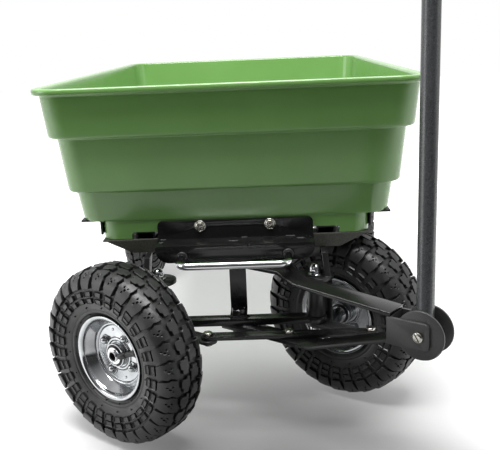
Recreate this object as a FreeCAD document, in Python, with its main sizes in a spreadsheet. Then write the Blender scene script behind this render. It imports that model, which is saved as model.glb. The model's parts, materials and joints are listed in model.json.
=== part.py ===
import FreeCAD, Part
import Sketcher
import math
import os
from types import SimpleNamespace
from FreeCAD import Vector

# A four-wheeled garden cart whose tub tips backwards. +X is the right-hand side seen from the
# front, -Y the front where the handle is, +Z up, and the origin is on the floor under the middle.

doc = FreeCAD.newDocument("dump_cart")
sheet = doc.addObject("Spreadsheet::Sheet", "Dims")

# Driving dimensions in millimetres and degrees.
DIMENSIONS = {
    # wheels
    "tyre_diameter": 260,
    "tyre_width": 80,
    "tread_width": 60,
    "crown_width": 30,
    "shoulder_depth": 7,
    "sidewall_foot": 24,
    "sidewall_head": 19,
    "sidewall_round": 18,
    "bead_diameter": 116,
    "bead_width": 44,
    "rim_diameter": 124,
    "rim_width": 51.5,
    "rim_slope": 6,
    "rim_wall": 2.5,
    "rim_well_diameter": 86,
    "rim_bore_seat": 0.3,
    "hub_diameter": 38,
    "hub_length": 30,
    "disc_hole_diameter": 8,
    "disc_hole_circle": 60,
    "axle_diameter": 16,
    "axle_stub_end": 5,
    "collar_diameter": 26,
    "collar_length": 8,
    "running_gap": 0.05,
    "seat_gap": 0.3,
    # wheel places
    "front_axle_y": -298,
    "wheelbase": 700,
    "rear_track": 495,
    "kingpin_spacing": 231,
    "wheel_offset": 82,
    "steer_rest": 54,
    # front axle
    "kingpin_diameter": 14,
    "kingpin_plate_top": 214,
    "kingpin_plate_radius": 26,
    "beam_bar_top": 151,
    "beam_bar_height": 10,
    "beam_bar_depth": 20,
    "plate": 5,
    "sheet_steel": 3,
    "side_plate_gap": 20,
    "sleeve_diameter": 26,
    "steering_arm": 90,
    "arm_plate_top": 140,
    "arm_plate_width": 26,
    "nut_width": 22,
    "nut_height": 9,
    "joint_bolt_diameter": 8,
    # frame
    "cross_beam_top": 272.2,
    "cross_beam_height": 21,
    "cross_beam_top_width": 392,
    "cross_beam_bottom_width": 304,
    "cross_beam_setback": 14,
    "cross_beam_depth": 30,
    "rail_spacing": 265,
    "rail_width": 28,
    "rail_height": 17,
    "rail_top": 282.7,
    "leg_top_offset": 12.5,
    "leg_foot_offset": 17.5,
    "leg_width": 8,
    "leg_depth": 28,
    "post_width": 25,
    "post_setback": 24,
    "pivot_tab_reach": 10,
    "pivot_bolt_diameter": 12,
    "upper_pivot_top": 248,
    "cross_member_height": 12,
    "cross_member_place": 110,
    "axle_support_top_length": 100,
    "axle_support_foot_length": 44,
    "tilt_axis_y": 740,
    "tilt_rod_diameter": 12,
    # tub
    "tub_width": 548,
    "tub_length": 862,
    "tub_overhang": 36,
    "tub_wall": 4,
    "skirt_bottom": 272.5,
    "skirt_height": 28.5,
    "floor_recess": 10.5,
    "tier_three_height": 46,
    "tier_two_height": 80,
    "tier_one_height": 61,
    "rim_lip_height": 8.5,
    "rim_lip_round": 3.5,
    "tier_one_top_inset": 9.5,
    "tier_one_foot_inset": 15,
    "tier_two_top_inset": 25,
    "tier_two_foot_inset": 32.5,
    "tier_three_top_inset": 42,
    "tier_three_foot_inset": 48,
    "skirt_side_inset": 77,
    "skirt_end_inset": 50,
    "rim_corner_radius": 44,
    "tier_one_corner_radius": 36,
    "tier_two_corner_radius": 34,
    "tier_three_corner_radius": 32,
    "skirt_corner_radius": 26,
    "notch_width": 39,
    "notch_height": 10.5,
    # steel on the tub
    "ear_front_gap": 12,
    "ear_rear_end": 740,
    "ear_flange_width": 31,
    "ear_height": 23,
    "hinge_plate_spacing": 210,
    "hinge_plate_length": 60,
    "latch_width": 227,
    "latch_flange_top": 298.5,
    "latch_ledge_bottom": 268,
    "latch_drop": 25,
    "latch_reach": 40,
    "latch_corner_cut": 12,
    "latch_bolt_spacing": 102,
    "latch_bolt_diameter": 8,
    "latch_bolt_height": 290,
    "latch_head_diameter": 16,
    "lever_rod_diameter": 11,
    "lever_width": 162,
    "lever_height": 255,
    "lever_reach": 47,
    "lever_bend": 14,
    "lever_hole_gap": 0.3,
    # drawbar
    "arm_thickness": 5,
    "lower_arm_width": 34,
    "lower_arm_tail": 20,
    "lower_arm_knee": 133,
    "upper_arm_width": 36,
    "upper_arm_tail": 12,
    "upper_arm_bottom": 236,
    "upper_arm_knee": 84,
    "upper_arm_kink": 110,
    "upper_arm_kink_bottom": 223,
    "yoke_back": 252,
    "yoke_width": 40,
    "yoke_wall": 4,
    "yoke_bottom": 174,
    "yoke_height": 36,
    "handle_pin_reach": 295,
    "handle_pin_diameter": 10,
    "pin_head_diameter": 16,
    "pin_head_thickness": 4,
    "yoke_end": 14,
    "yoke_corner_cut": 4,
    # tie rods
    "tie_rod_width": 20,
    "tie_rod_thickness": 5,
    "tie_rod_gap": 0.5,
    # handle
    "handle_disc_diameter": 64,
    "handle_disc_thickness": 3,
    "handle_tube_diameter": 22,
    "handle_tube_wall": 2,
    "handle_tube_top": 888,
    "grip_bottom": 872,
    "grip_top": 990,
    "grip_width": 130,
    "grip_base_width": 52,
    "grip_shoulder": 934,
    "grip_depth": 26,
    "grip_bar": 24,
    "grip_side": 19,
    "grip_round": 6,
    "clevis_span": 34,
    "clevis_wall": 4,
    "clevis_top": 926,
    "clevis_width": 30,
    "tow_bore_height": 912,
    "tow_bore_diameter": 13,
}


class Size:
    """A number together with the spreadsheet formula that gives it."""

    def __init__(self, value, text):
        self.value = value
        self.text = text

    def __add__(self, other):
        other = sized(other)
        return Size(self.value + other.value, f"({self.text} + {other.text})")

    def __radd__(self, other):
        return sized(other) + self

    def __sub__(self, other):
        other = sized(other)
        return Size(self.value - other.value, f"({self.text} - {other.text})")

    def __rsub__(self, other):
        return sized(other) - self

    def __mul__(self, other):
        other = sized(other)
        return Size(self.value * other.value, f"({self.text} * {other.text})")

    def __rmul__(self, other):
        return sized(other) * self

    def __truediv__(self, other):
        other = sized(other)
        return Size(self.value / other.value, f"({self.text} / {other.text})")

    def __neg__(self):
        return 0 - self


def sized(number):
    """Gives a plain number as a Size and leaves a Size alone."""
    if isinstance(number, Size):
        return number
    return Size(number, f"({number})")


def cosine(angle):
    return Size(math.cos(math.radians(angle.value)), f"cos({angle.text})")


def sine(angle):
    return Size(math.sin(math.radians(angle.value)), f"sin({angle.text})")


def fill_sheet():
    """Writes every dimension into its own aliased cell and returns them as Sizes."""
    sizes = {}
    for row, (alias, value) in enumerate(DIMENSIONS.items(), start=1):
        sheet.set(f"A{row}", alias)
        sheet.set(f"B{row}", str(value))
        sheet.setAlias(f"B{row}", alias)
        sizes[alias] = Size(value, f"Dims.{alias}")
    doc.recompute()
    return SimpleNamespace(**sizes)


s = fill_sheet()
nodes = []


def bind(thing, path, size):
    """Ties one property to its formula."""
    thing.setExpression(path, sized(size).text)


def place(thing, x=0, y=0, z=0, turn=None):
    """Moves a finished piece and turns it about the vertical, in that order from right to left."""
    if turn is not None:
        angle = sized(turn)
        rotation = FreeCAD.Rotation(Vector(0, 0, 1), angle.value)
        thing.Placement = FreeCAD.Placement(Vector(0, 0, 0), rotation)
        bind(thing, "Placement.Rotation.Angle", angle)
    for path, size in (("x", x), ("y", y), ("z", z)):
        bind(thing, f"Placement.Base.{path}", size)
    return thing


def keep(thing, name):
    """Names a finished piece, which makes it a node of its own."""
    thing.Label = name
    nodes.append(thing)
    return thing


def tag(name):
    """A unique object name for a helper shape."""
    return f"{name}_{len(doc.Objects)}"


# Plain solids between two corners, and round bars along an axis.

def block(x, y, z):
    """A box between the pairs x, y and z."""
    solid = doc.addObject("Part::Box", tag("block"))
    for path, pair in (("Length", x), ("Width", y), ("Height", z)):
        bind(solid, path, sized(pair[1]) - pair[0])
    place(solid, x[0], y[0], z[0])
    return solid


# How far a cutting shape runs past the surface it opens.
CUT_PAST = 1

AXIS_TURNS = {
    "x": FreeCAD.Rotation(Vector(0, 1, 0), 90),
    "y": FreeCAD.Rotation(Vector(1, 0, 0), -90),
    "z": FreeCAD.Rotation(),
}


def bar(axis, radius, start, length):
    """A round bar from the point start along an axis."""
    solid = doc.addObject("Part::Cylinder", tag("bar"))
    solid.Placement = FreeCAD.Placement(Vector(0, 0, 0), AXIS_TURNS[axis])
    bind(solid, "Radius", radius)
    bind(solid, "Height", length)
    for path, size in zip("xyz", start):
        bind(solid, f"Placement.Base.{path}", size)
    return solid


def bore(axis, radius, start, length):
    """A bar that cuts a hole, a little longer than the hole at both ends."""
    first = list(start)
    index = "xyz".index(axis)
    first[index] = first[index] - CUT_PAST
    return bar(axis, radius, first, length + 2 * CUT_PAST)


def joined(solids):
    fused = doc.addObject("Part::MultiFuse", tag("joined"))
    fused.Shapes = solids
    fused.Refine = True
    return fused


def grouped(solids):
    """Solids that don't touch, kept together."""
    group = doc.addObject("Part::Compound", tag("grouped"))
    group.Links = solids
    return group


def without(solid, tool):
    remainder = doc.addObject("Part::Cut", tag("without"))
    remainder.Base = solid
    remainder.Tool = tool
    return remainder


# Bodies made from sketches.

PLANES = {"xy": "XY_Plane", "xz": "XZ_Plane", "yz": "YZ_Plane"}


def new_body(name):
    return doc.addObject("PartDesign::Body", tag(name))


def new_sketch(body, plane, offset=0):
    """A sketch on one of the body's own origin planes, moved along the plane's normal."""
    sketch = body.newObject("Sketcher::SketchObject", tag("sketch"))
    role = PLANES[plane]
    support = [item for item in body.Origin.OriginFeatures if item.Role == role][0]
    sketch.AttachmentSupport = [(support, "")]
    sketch.MapMode = "FlatFace"
    bind(sketch, "AttachmentOffset.Base.z", offset)
    return sketch


def fix_point(sketch, geometry, end, point):
    """Ties one point of a sketch to its two formulas."""
    for kind, size in (("DistanceX", point[0]), ("DistanceY", point[1])):
        size = sized(size)
        index = sketch.addConstraint(Sketcher.Constraint(kind, -1, 1, geometry, end, size.value))
        sketch.setExpression(f"Constraints[{index}]", size.text)


def fix_radius(sketch, geometry, radius):
    radius = sized(radius)
    index = sketch.addConstraint(Sketcher.Constraint("Radius", geometry, radius.value))
    sketch.setExpression(f"Constraints[{index}]", radius.text)


def flat(point):
    return Vector(sized(point[0]).value, sized(point[1]).value, 0)


def draw_polygon(sketch, corners):
    """A closed outline of straight edges, each corner a pair of sizes."""
    first = len(sketch.Geometry)
    count = len(corners)
    for index in range(count):
        start, end = corners[index], corners[(index + 1) % count]
        sketch.addGeometry(Part.LineSegment(flat(start), flat(end)), False)
    for index in range(count):
        following = first + (index + 1) % count
        sketch.addConstraint(Sketcher.Constraint("Coincident", first + index, 2, following, 1))
    for index, corner in enumerate(corners):
        fix_point(sketch, first + index, 1, corner)


def draw_circle(sketch, centre, radius):
    circle = Part.Circle(flat(centre), Vector(0, 0, 1), sized(radius).value)
    geometry = sketch.addGeometry(circle, False)
    fix_point(sketch, geometry, 3, centre)
    fix_radius(sketch, geometry, radius)


def draw_rounded_rectangle(sketch, half_width, front, rear, radius):
    """A rectangle centred on X = 0, from front to rear in Y, with round corners."""
    corners = [
        (half_width - radius, front + radius, -90),
        (half_width - radius, rear - radius, 0),
        (radius - half_width, rear - radius, 90),
        (radius - half_width, front + radius, 180),
    ]
    arcs = []
    for x, y, start in corners:
        circle = Part.Circle(flat((x, y)), Vector(0, 0, 1), radius.value)
        arc = Part.ArcOfCircle(circle, math.radians(start), math.radians(start + 90))
        arcs.append(sketch.addGeometry(arc, False))
    sides = []
    for index in range(4):
        start = sketch.Geometry[arcs[index]].EndPoint
        end = sketch.Geometry[arcs[(index + 1) % 4]].StartPoint
        sides.append(sketch.addGeometry(Part.LineSegment(start, end), False))
    for index in range(4):
        following = arcs[(index + 1) % 4]
        sketch.addConstraint(Sketcher.Constraint("Tangent", arcs[index], 2, sides[index], 1))
        sketch.addConstraint(Sketcher.Constraint("Tangent", sides[index], 2, following, 1))
    for index in (0, 2):
        sketch.addConstraint(Sketcher.Constraint("Vertical", sides[index]))
        sketch.addConstraint(Sketcher.Constraint("Horizontal", sides[index + 1]))
    for index in range(1, 4):
        sketch.addConstraint(Sketcher.Constraint("Equal", arcs[0], arcs[index]))
    fix_radius(sketch, arcs[0], radius)
    fix_point(sketch, arcs[0], 3, corners[0][:2])
    fix_point(sketch, arcs[2], 3, corners[2][:2])


def pad(body, sketch, length, middle=False):
    feature = body.newObject("PartDesign::Pad", tag("pad"))
    feature.Profile = sketch
    bind(feature, "Length", length)
    feature.Midplane = middle
    return feature


def pocket_through(body, sketch):
    feature = body.newObject("PartDesign::Pocket", tag("pocket"))
    feature.Profile = sketch
    feature.Type = 1
    feature.Midplane = True
    return feature


def revolve(body, sketch, axis):
    feature = body.newObject("PartDesign::Revolution", tag("revolution"))
    feature.Profile = sketch
    feature.ReferenceAxis = (sketch, [axis])
    feature.Angle = 360
    return feature


def loft(body, kind, low, high):
    feature = body.newObject(f"PartDesign::{kind}", tag("loft"))
    feature.Profile = low
    feature.Sections = [high]
    feature.Ruled = True
    return feature


def edges_at(feature, test):
    """Names of the edges of a feature whose middle passes a test."""
    names = []
    for number, edge in enumerate(feature.Shape.Edges, start=1):
        middle = edge.valueAt((edge.FirstParameter + edge.LastParameter) / 2)
        if test(middle, edge):
            names.append(f"Edge{number}")
    return names


def fillet(body, feature, radius, test):
    """Rounds the edges of the last feature that pass a test."""
    doc.recompute()
    rounded = body.newObject("PartDesign::Fillet", tag("fillet"))
    rounded.Base = (feature, edges_at(feature, test))
    bind(rounded, "Radius", radius)
    return rounded


def plate(name, plane, corners, thickness, offset=0, holes=(), middle=False):
    """A flat plate of a polygon outline with round holes, padded from a plane."""
    body = new_body(name)
    sketch = new_sketch(body, plane, offset)
    draw_polygon(sketch, corners)
    for centre, radius in holes:
        draw_circle(sketch, centre, radius)
    pad(body, sketch, thickness, middle)
    return body


def mirrored(side, near, far):
    """The pair of X values from near to far, on the side +1 or -1."""
    if side > 0:
        return (near, far)
    return (-sized(far), -sized(near))


SIDES = {"left": -1, "right": 1}
front_y = s.front_axle_y
rear_y = s.front_axle_y + s.wheelbase
wheel_height = s.tyre_diameter / 2
arm_plate_bottom = s.arm_plate_top - s.plate
kingpin_x = s.kingpin_spacing / 2


# Wheels.

def tyre(name):
    """A tyre about the X axis, its section a polygon whose corners are rounded afterwards."""
    body = new_body("tyre")
    half = s.tyre_width / 2
    radius = s.tyre_diameter / 2
    right = [
        (s.bead_width / 2, s.bead_diameter / 2),
        (half, s.bead_diameter / 2 + s.sidewall_foot),
        (half, radius - s.shoulder_depth - s.sidewall_head),
        (s.tread_width / 2, radius - s.shoulder_depth),
        (s.crown_width / 2, radius),
    ]
    left = [(-x, y) for x, y in reversed(right)]
    sketch = new_sketch(body, "xy")
    draw_polygon(sketch, right + left)
    ring = revolve(body, sketch, "H_Axis")
    low = right[1][1].value
    high = right[3][1].value

    def sidewall_edge(middle, edge):
        return low - CUT_PAST < math.hypot(middle.y, middle.z) < high + CUT_PAST

    fillet(body, ring, s.sidewall_round, sidewall_edge)
    return keep(body, name)


def rim(name):
    """A pressed steel rim about the X axis: flanges, drop centre, disc and hub in one piece."""
    body = new_body("rim")
    sketch = new_sketch(body, "xy")
    half = s.rim_width / 2
    lip = s.rim_diameter / 2
    seat = s.bead_diameter / 2 - s.rim_bore_seat
    well = s.rim_well_diameter / 2
    wall = s.rim_wall
    hub = s.hub_diameter / 2
    axle_hole = s.axle_diameter / 2 + s.running_gap
    hub_half = s.hub_length / 2
    bead_half = s.bead_width / 2
    slope = s.rim_slope
    corners = [
        (half + wall, lip),
        (half, lip),
        (bead_half + s.rim_bore_seat, seat),
        (bead_half - slope, seat),
        (bead_half - 2 * slope, well),
        (-bead_half + 2 * slope, well),
        (-bead_half + slope, seat),
        (-bead_half - s.rim_bore_seat, seat),
        (-half, lip),
        (-half - wall, lip),
        (-half - wall, lip - wall),
        (-bead_half, seat - wall),
        (-bead_half + slope, seat - wall),
        (-bead_half + 2 * slope, well - wall),
        (bead_half - 2 * slope - wall, well - wall),
        (bead_half - 2 * slope - wall, hub),
        (-hub_half, hub),
        (-hub_half, axle_hole),
        (hub_half, axle_hole),
        (hub_half, hub),
        (bead_half - 2 * slope + wall, hub),
        (bead_half - 2 * slope + wall, well - wall),
        (bead_half - slope, seat - wall),
        (bead_half, seat - wall),
        (half + wall, lip - wall),
    ]
    draw_polygon(sketch, corners)
    revolve(body, sketch, "H_Axis")
    holes = new_sketch(body, "yz")
    reach = s.disc_hole_circle / 2
    for x, y in ((reach, 0), (0, reach), (-reach, 0), (0, -reach)):
        draw_circle(holes, (x, y), s.disc_hole_diameter / 2)
    pocket_through(body, holes)
    return keep(body, name)


def wheel(end, side_name):
    """Tyre and rim of one wheel, put at the end of its axle."""
    side = SIDES[side_name]
    if end == "front":
        turn = s.steer_rest if side > 0 else s.steer_rest + 180
        reach = side * s.wheel_offset
        x = side * kingpin_x + reach * cosine(s.steer_rest)
        y = front_y + reach * sine(s.steer_rest)
    else:
        turn = sized(0 if side > 0 else 180)
        x = side * s.rear_track / 2
        y = rear_y
    for make, kind in ((tyre, "tyre"), (rim, "rim")):
        place(make(f"{kind}_{end}_{side_name}"), x, y, wheel_height, turn)


# Frame.

def cross_beam():
    """A folded beam: a trapezoid face and a flange that runs back, cut out for the rails."""
    top = s.cross_beam_top
    bottom = top - s.cross_beam_height
    half_top = s.cross_beam_top_width / 2
    half_bottom = s.cross_beam_bottom_width / 2
    face_front = front_y + s.cross_beam_setback
    corners = [(-half_bottom, bottom), (half_bottom, bottom), (half_top, top), (-half_top, top)]
    face = plate("beam_face", "xz", corners, s.sheet_steel, -face_front)
    face.Tip.Reversed = True
    flange = block(
        (-half_top, half_top),
        (face_front, face_front + s.cross_beam_depth),
        (top - s.sheet_steel, top),
    )
    rail_outer = (s.rail_spacing + s.rail_width) / 2
    rail_inner = (s.rail_spacing - s.rail_width) / 2
    cuts = []
    for side in SIDES.values():
        x = mirrored(side, rail_inner, rail_outer)
        y = (face_front + s.sheet_steel, face_front + 2 * s.cross_beam_depth)
        cuts.append(block(x, y, (bottom, top + s.rail_height)))
    beam = without(joined([face, flange]), joined(cuts))
    keep(beam, "front_cross_beam")


def rail(side_name):
    """A box rail, open at the cross beam and with a round solid end about the tilt axis."""
    side = SIDES[side_name]
    centre = side * s.rail_spacing / 2
    x = (centre - s.rail_width / 2, centre + s.rail_width / 2)
    start = front_y + s.cross_beam_setback + s.sheet_steel
    end = front_y + s.tilt_axis_y
    z = (s.rail_top - s.rail_height, s.rail_top)
    middle = s.rail_top - s.rail_height / 2
    beam = block(x, (start, end), z)
    round_end = bar("x", s.rail_height / 2, (x[0], end, middle), s.rail_width)
    wall = s.sheet_steel
    hollow = block(
        (x[0] + wall, x[1] - wall),
        (start - CUT_PAST, end - s.rail_width),
        (z[0] + wall, z[1] - wall),
    )
    hole = bore("x", s.tilt_rod_diameter / 2 + s.running_gap, (x[0], end, middle), s.rail_width)
    keep(without(joined([beam, round_end]), grouped([hollow, hole])), f"chassis_rail_{side_name}")


def front_leg(side_name):
    """A slanted strut from the cross beam down to the plate that holds the top of a kingpin."""
    side = SIDES[side_name]
    top = s.cross_beam_top - s.cross_beam_height
    foot = s.kingpin_plate_top
    half = s.leg_width / 2
    foot_x = side * (kingpin_x + s.leg_foot_offset)
    top_x = side * (kingpin_x + s.leg_top_offset)
    corners = [
        (foot_x - half, foot - s.plate),
        (foot_x + half, foot - s.plate),
        (top_x + half, top),
        (top_x - half, top),
    ]
    strut = plate("leg", "xz", corners, s.leg_depth, -front_y, middle=True)
    centre = (side * kingpin_x, front_y)
    disc = bar("z", s.kingpin_plate_radius, (*centre, foot - s.plate), s.plate)
    hole = bore("z", s.kingpin_diameter / 2 + s.running_gap, (*centre, foot - s.plate), s.plate)
    keep(without(joined([strut, disc]), hole), f"front_leg_{side_name}")


def kingpin(side_name):
    """The bolt a front wheel steers about, with its head above and its nut below."""
    x = SIDES[side_name] * kingpin_x
    top = s.kingpin_plate_top
    foot = arm_plate_bottom - s.seat_gap
    shank_foot = foot - s.nut_height
    shank = bar("z", s.kingpin_diameter / 2, (x, front_y, shank_foot), top - shank_foot)
    head = bar("z", s.nut_width / 2, (x, front_y, top), s.nut_height)
    nut = bar("z", s.nut_width / 2, (x, front_y, shank_foot), s.nut_height)
    keep(joined([shank, head, nut]), f"kingpin_{side_name}")


def axle_beam():
    """The straight bar that ties the feet of the two kingpins and the centre post."""
    z = (s.beam_bar_top - s.beam_bar_height, s.beam_bar_top)
    half_depth = s.beam_bar_depth / 2
    length = block((-kingpin_x, kingpin_x), (front_y - half_depth, front_y + half_depth), z)
    ends = []
    pivot = s.pivot_bolt_diameter / 2 + s.running_gap
    holes = [bore("z", pivot, (0, front_y, z[0]), s.beam_bar_height)]
    for side in SIDES.values():
        foot = (side * kingpin_x, front_y, z[0])
        ends.append(bar("z", s.side_plate_gap - s.plate, foot, s.beam_bar_height))
        holes.append(bore("z", s.kingpin_diameter / 2 + s.running_gap, foot, s.beam_bar_height))
    keep(without(joined([length, *ends]), grouped(holes)), "front_axle_beam")


def centre_post():
    """A flat post from the cross beam down to the axle beam, with a tab for each drawbar pivot."""
    half = s.post_width / 2
    back = front_y + s.post_setback
    tab_front = front_y - s.pivot_tab_reach
    foot = s.beam_bar_top
    post = block((-half, half), (back, back + s.plate), (foot, s.cross_beam_top - s.sheet_steel))
    lower = block((-half, half), (tab_front, back + s.plate), (foot, foot + s.plate))
    upper_bottom = s.upper_pivot_top - s.plate
    upper = block((-half, half), (tab_front, back + s.plate), (upper_bottom, s.upper_pivot_top))
    pivot = s.pivot_bolt_diameter / 2 + s.running_gap
    hole = bore("z", pivot, (0, front_y, foot), s.upper_pivot_top - foot)
    keep(without(joined([post, lower, upper]), hole), "centre_post")


def pivot_bolts():
    """The two upright bolts the drawbar turns on, below the axle beam and under the cross beam."""
    radius = s.pivot_bolt_diameter / 2
    head = s.nut_width / 2
    low_foot = arm_plate_bottom - s.seat_gap - s.nut_height
    low_top = s.beam_bar_top + s.plate
    lower = joined([
        bar("z", radius, (0, front_y, low_foot), low_top - low_foot),
        bar("z", head, (0, front_y, low_top), s.nut_height),
        bar("z", head, (0, front_y, low_foot), s.nut_height),
    ])
    high_foot = s.upper_arm_bottom - s.seat_gap - s.nut_height
    upper = joined([
        bar("z", radius, (0, front_y, high_foot), s.upper_pivot_top - high_foot),
        bar("z", head, (0, front_y, high_foot), s.nut_height),
    ])
    keep(grouped([lower, upper]), "drawbar_pivot_bolts")


def rear_frame():
    """The cross member between the rails, the axle with its collars, and what hangs it."""
    inner = (s.rail_spacing - s.rail_width) / 2
    rail_bottom = s.rail_top - s.rail_height
    half = s.cross_beam_depth / 2
    z = (rail_bottom, rail_bottom + s.cross_member_height)
    middle = front_y + s.tilt_axis_y - s.cross_member_place
    keep(block((-inner, inner), (middle - half, middle + half), z), "rear_cross_member")
    for side_name, side in SIDES.items():
        centre = side * s.rail_spacing / 2
        top_half = s.axle_support_top_length / 2
        foot_half = s.axle_support_foot_length / 2
        foot = wheel_height - foot_half
        corners = [
            (rear_y - foot_half, foot),
            (rear_y + foot_half, foot),
            (rear_y + top_half, rail_bottom),
            (rear_y - top_half, rail_bottom),
        ]
        hole = ((rear_y, wheel_height), s.axle_diameter / 2 + s.running_gap)
        support = plate("support", "yz", corners, s.plate, centre - s.plate / 2, [hole])
        keep(support, f"rear_axle_support_{side_name}")
    half_axle = s.rear_track / 2 + s.hub_length / 2 + s.axle_stub_end
    axle = bar("x", s.axle_diameter / 2, (-half_axle, rear_y, wheel_height), 2 * half_axle)
    collar_x = s.rear_track / 2 - s.hub_length / 2 - s.seat_gap
    collars = []
    for side in SIDES.values():
        x = mirrored(side, collar_x - s.collar_length, collar_x)
        collars.append(bar("x", s.collar_diameter / 2, (x[0], rear_y, wheel_height), s.collar_length))
    keep(joined([axle, *collars]), "rear_axle")
    rod_half = (s.rail_spacing + s.rail_width) / 2 + s.plate
    height = s.rail_top - s.rail_height / 2
    rod_end = (-rod_half, front_y + s.tilt_axis_y, height)
    keep(bar("x", s.tilt_rod_diameter / 2, rod_end, 2 * rod_half), "tilt_rod")


# Steering.

def knuckle(side_name):
    """A steering knuckle in its own frame, the kingpin on Z and the wheel outwards along X."""
    side = SIDES[side_name]
    sleeve_foot = s.beam_bar_top + s.seat_gap
    sleeve_top = s.kingpin_plate_top - s.plate - s.seat_gap
    sleeve = bar("z", s.sleeve_diameter / 2, (0, 0, sleeve_foot), sleeve_top - sleeve_foot)
    near = s.side_plate_gap
    far = near + s.plate
    half = s.arm_plate_width / 2
    upright = block(mirrored(side, near, far), (-half, half), (arm_plate_bottom - s.plate, sleeve_top))
    web = block(
        mirrored(side, s.kingpin_diameter / 2 + s.sheet_steel, far),
        (-half / 2, half / 2),
        (sleeve_foot, sleeve_top),
    )
    tongue = block(mirrored(side, 0, far), (-half, half), (arm_plate_bottom, s.arm_plate_top))
    arm = block((-half, half), (-s.steering_arm, 0), (arm_plate_bottom, s.arm_plate_top))
    ends = [bar("z", half, (0, y, arm_plate_bottom), s.plate) for y in (0, -s.steering_arm)]
    pin = s.kingpin_diameter / 2 + s.running_gap
    pin_hole = bore("z", pin, (0, 0, arm_plate_bottom), sleeve_top - arm_plate_bottom)
    bolt = s.joint_bolt_diameter / 2 + s.running_gap
    eye = bore("z", bolt, (0, -s.steering_arm, arm_plate_bottom), s.plate)
    solid = without(joined([sleeve, upright, web, tongue, arm, *ends]), grouped([pin_hole, eye]))
    place(keep(solid, f"knuckle_{side_name}"), side * kingpin_x, front_y, 0, s.steer_rest)


def stub_axle(side_name):
    """The short axle a front wheel turns on, with the collar that the hub runs against."""
    side = SIDES[side_name]
    start = s.side_plate_gap + s.plate
    end = s.wheel_offset + s.hub_length / 2 + s.axle_stub_end
    collar_end = s.wheel_offset - s.hub_length / 2 - s.seat_gap
    x = mirrored(side, start, end)
    collar = mirrored(side, start, collar_end)
    rod = bar("x", s.axle_diameter / 2, (x[0], 0, wheel_height), end - start)
    boss = bar("x", s.collar_diameter / 2, (collar[0], 0, wheel_height), collar_end - start)
    place(keep(joined([rod, boss]), f"stub_axle_{side_name}"), side * kingpin_x, front_y, 0, s.steer_rest)


def steering_bolts():
    """The bolts that hinge the tie rod, one on each knuckle arm and one on the drawbar."""
    height = s.nut_height / 2
    foot = arm_plate_bottom - height
    top = s.arm_plate_top + s.tie_rod_gap + s.tie_rod_thickness + s.seat_gap
    radius = s.nut_width / 3
    for name, x in (("left", -kingpin_x), ("right", kingpin_x), ("centre", sized(0))):
        bolt = joined([
            bar("z", s.joint_bolt_diameter / 2, (0, -s.steering_arm, foot), top - foot + height),
            bar("z", radius, (0, -s.steering_arm, top), height),
            bar("z", radius, (0, -s.steering_arm, foot), height),
        ])
        place(keep(bolt, f"steering_bolt_{name}"), x, front_y, 0, s.steer_rest)


def tie_rod():
    """A flat rod from one knuckle arm to the other, with the drawbar's bolt in its middle."""
    bottom = s.arm_plate_top + s.tie_rod_gap
    centre_x = s.steering_arm * sine(s.steer_rest)
    centre_y = front_y - s.steering_arm * cosine(s.steer_rest)
    half = s.tie_rod_width / 2
    ends = (centre_x - kingpin_x, centre_x + kingpin_x)
    strip = block(ends, (centre_y - half, centre_y + half), (bottom, bottom + s.tie_rod_thickness))
    eyes = [bar("z", half, (end, centre_y, bottom), s.tie_rod_thickness) for end in ends]
    hole = s.joint_bolt_diameter / 2 + s.seat_gap
    holes = [bore("z", hole, (x, centre_y, bottom), s.tie_rod_thickness) for x in (*ends, centre_x)]
    keep(without(joined([strip, *eyes]), grouped(holes)), "tie_rod")


# Drawbar and handle. Both are drawn straight ahead, towards -Y from the pivot, and turned to the
# side they rest on.

def drawbar_arm(name, width, side_outline, holes):
    """A bent flat bar: its side outline in distance and height, padded across its width."""
    corners = [(-distance, height) for distance, height in side_outline]
    arm = plate(name, "yz", corners, width, middle=True)
    bores = []
    for distance, radius in holes:
        bores.append(bar("z", radius, (0, -distance, 0), s.cross_beam_top))
    turned_to_rest(without(arm, grouped(bores)), name)


def turned_to_rest(solid, name):
    place(keep(solid, name), 0, front_y, 0, s.steer_rest)


def drawbar_arms():
    """The two bent bars that run from the upright pivots to the yoke."""
    thick = s.arm_thickness
    foot = arm_plate_bottom
    pivot = s.pivot_bolt_diameter / 2 + s.running_gap
    lower = [
        (-s.lower_arm_tail, foot),
        (s.lower_arm_knee, foot),
        (s.yoke_back, s.yoke_bottom),
        (s.yoke_back, s.yoke_bottom + thick),
        (s.lower_arm_knee, foot + thick),
        (-s.lower_arm_tail, foot + thick),
    ]
    bolt = (s.steering_arm, s.joint_bolt_diameter / 2 + s.running_gap)
    drawbar_arm("drawbar_lower_arm", s.lower_arm_width, lower, [(sized(0), pivot), bolt])
    base = s.upper_arm_bottom
    kink = s.upper_arm_kink_bottom
    end = s.yoke_bottom + s.yoke_height
    upper = [
        (-s.upper_arm_tail, base),
        (s.upper_arm_knee, base),
        (s.upper_arm_kink, kink),
        (s.yoke_back, end),
        (s.yoke_back + s.yoke_wall, end),
        (s.yoke_back + s.yoke_wall, end + thick),
        (s.upper_arm_kink, kink + thick),
        (s.upper_arm_knee, base + thick),
        (-s.upper_arm_tail, base + thick),
    ]
    drawbar_arm("drawbar_upper_arm", s.upper_arm_width, upper, [(sized(0), pivot)])


pin_height = s.yoke_bottom + s.yoke_height / 2


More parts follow.
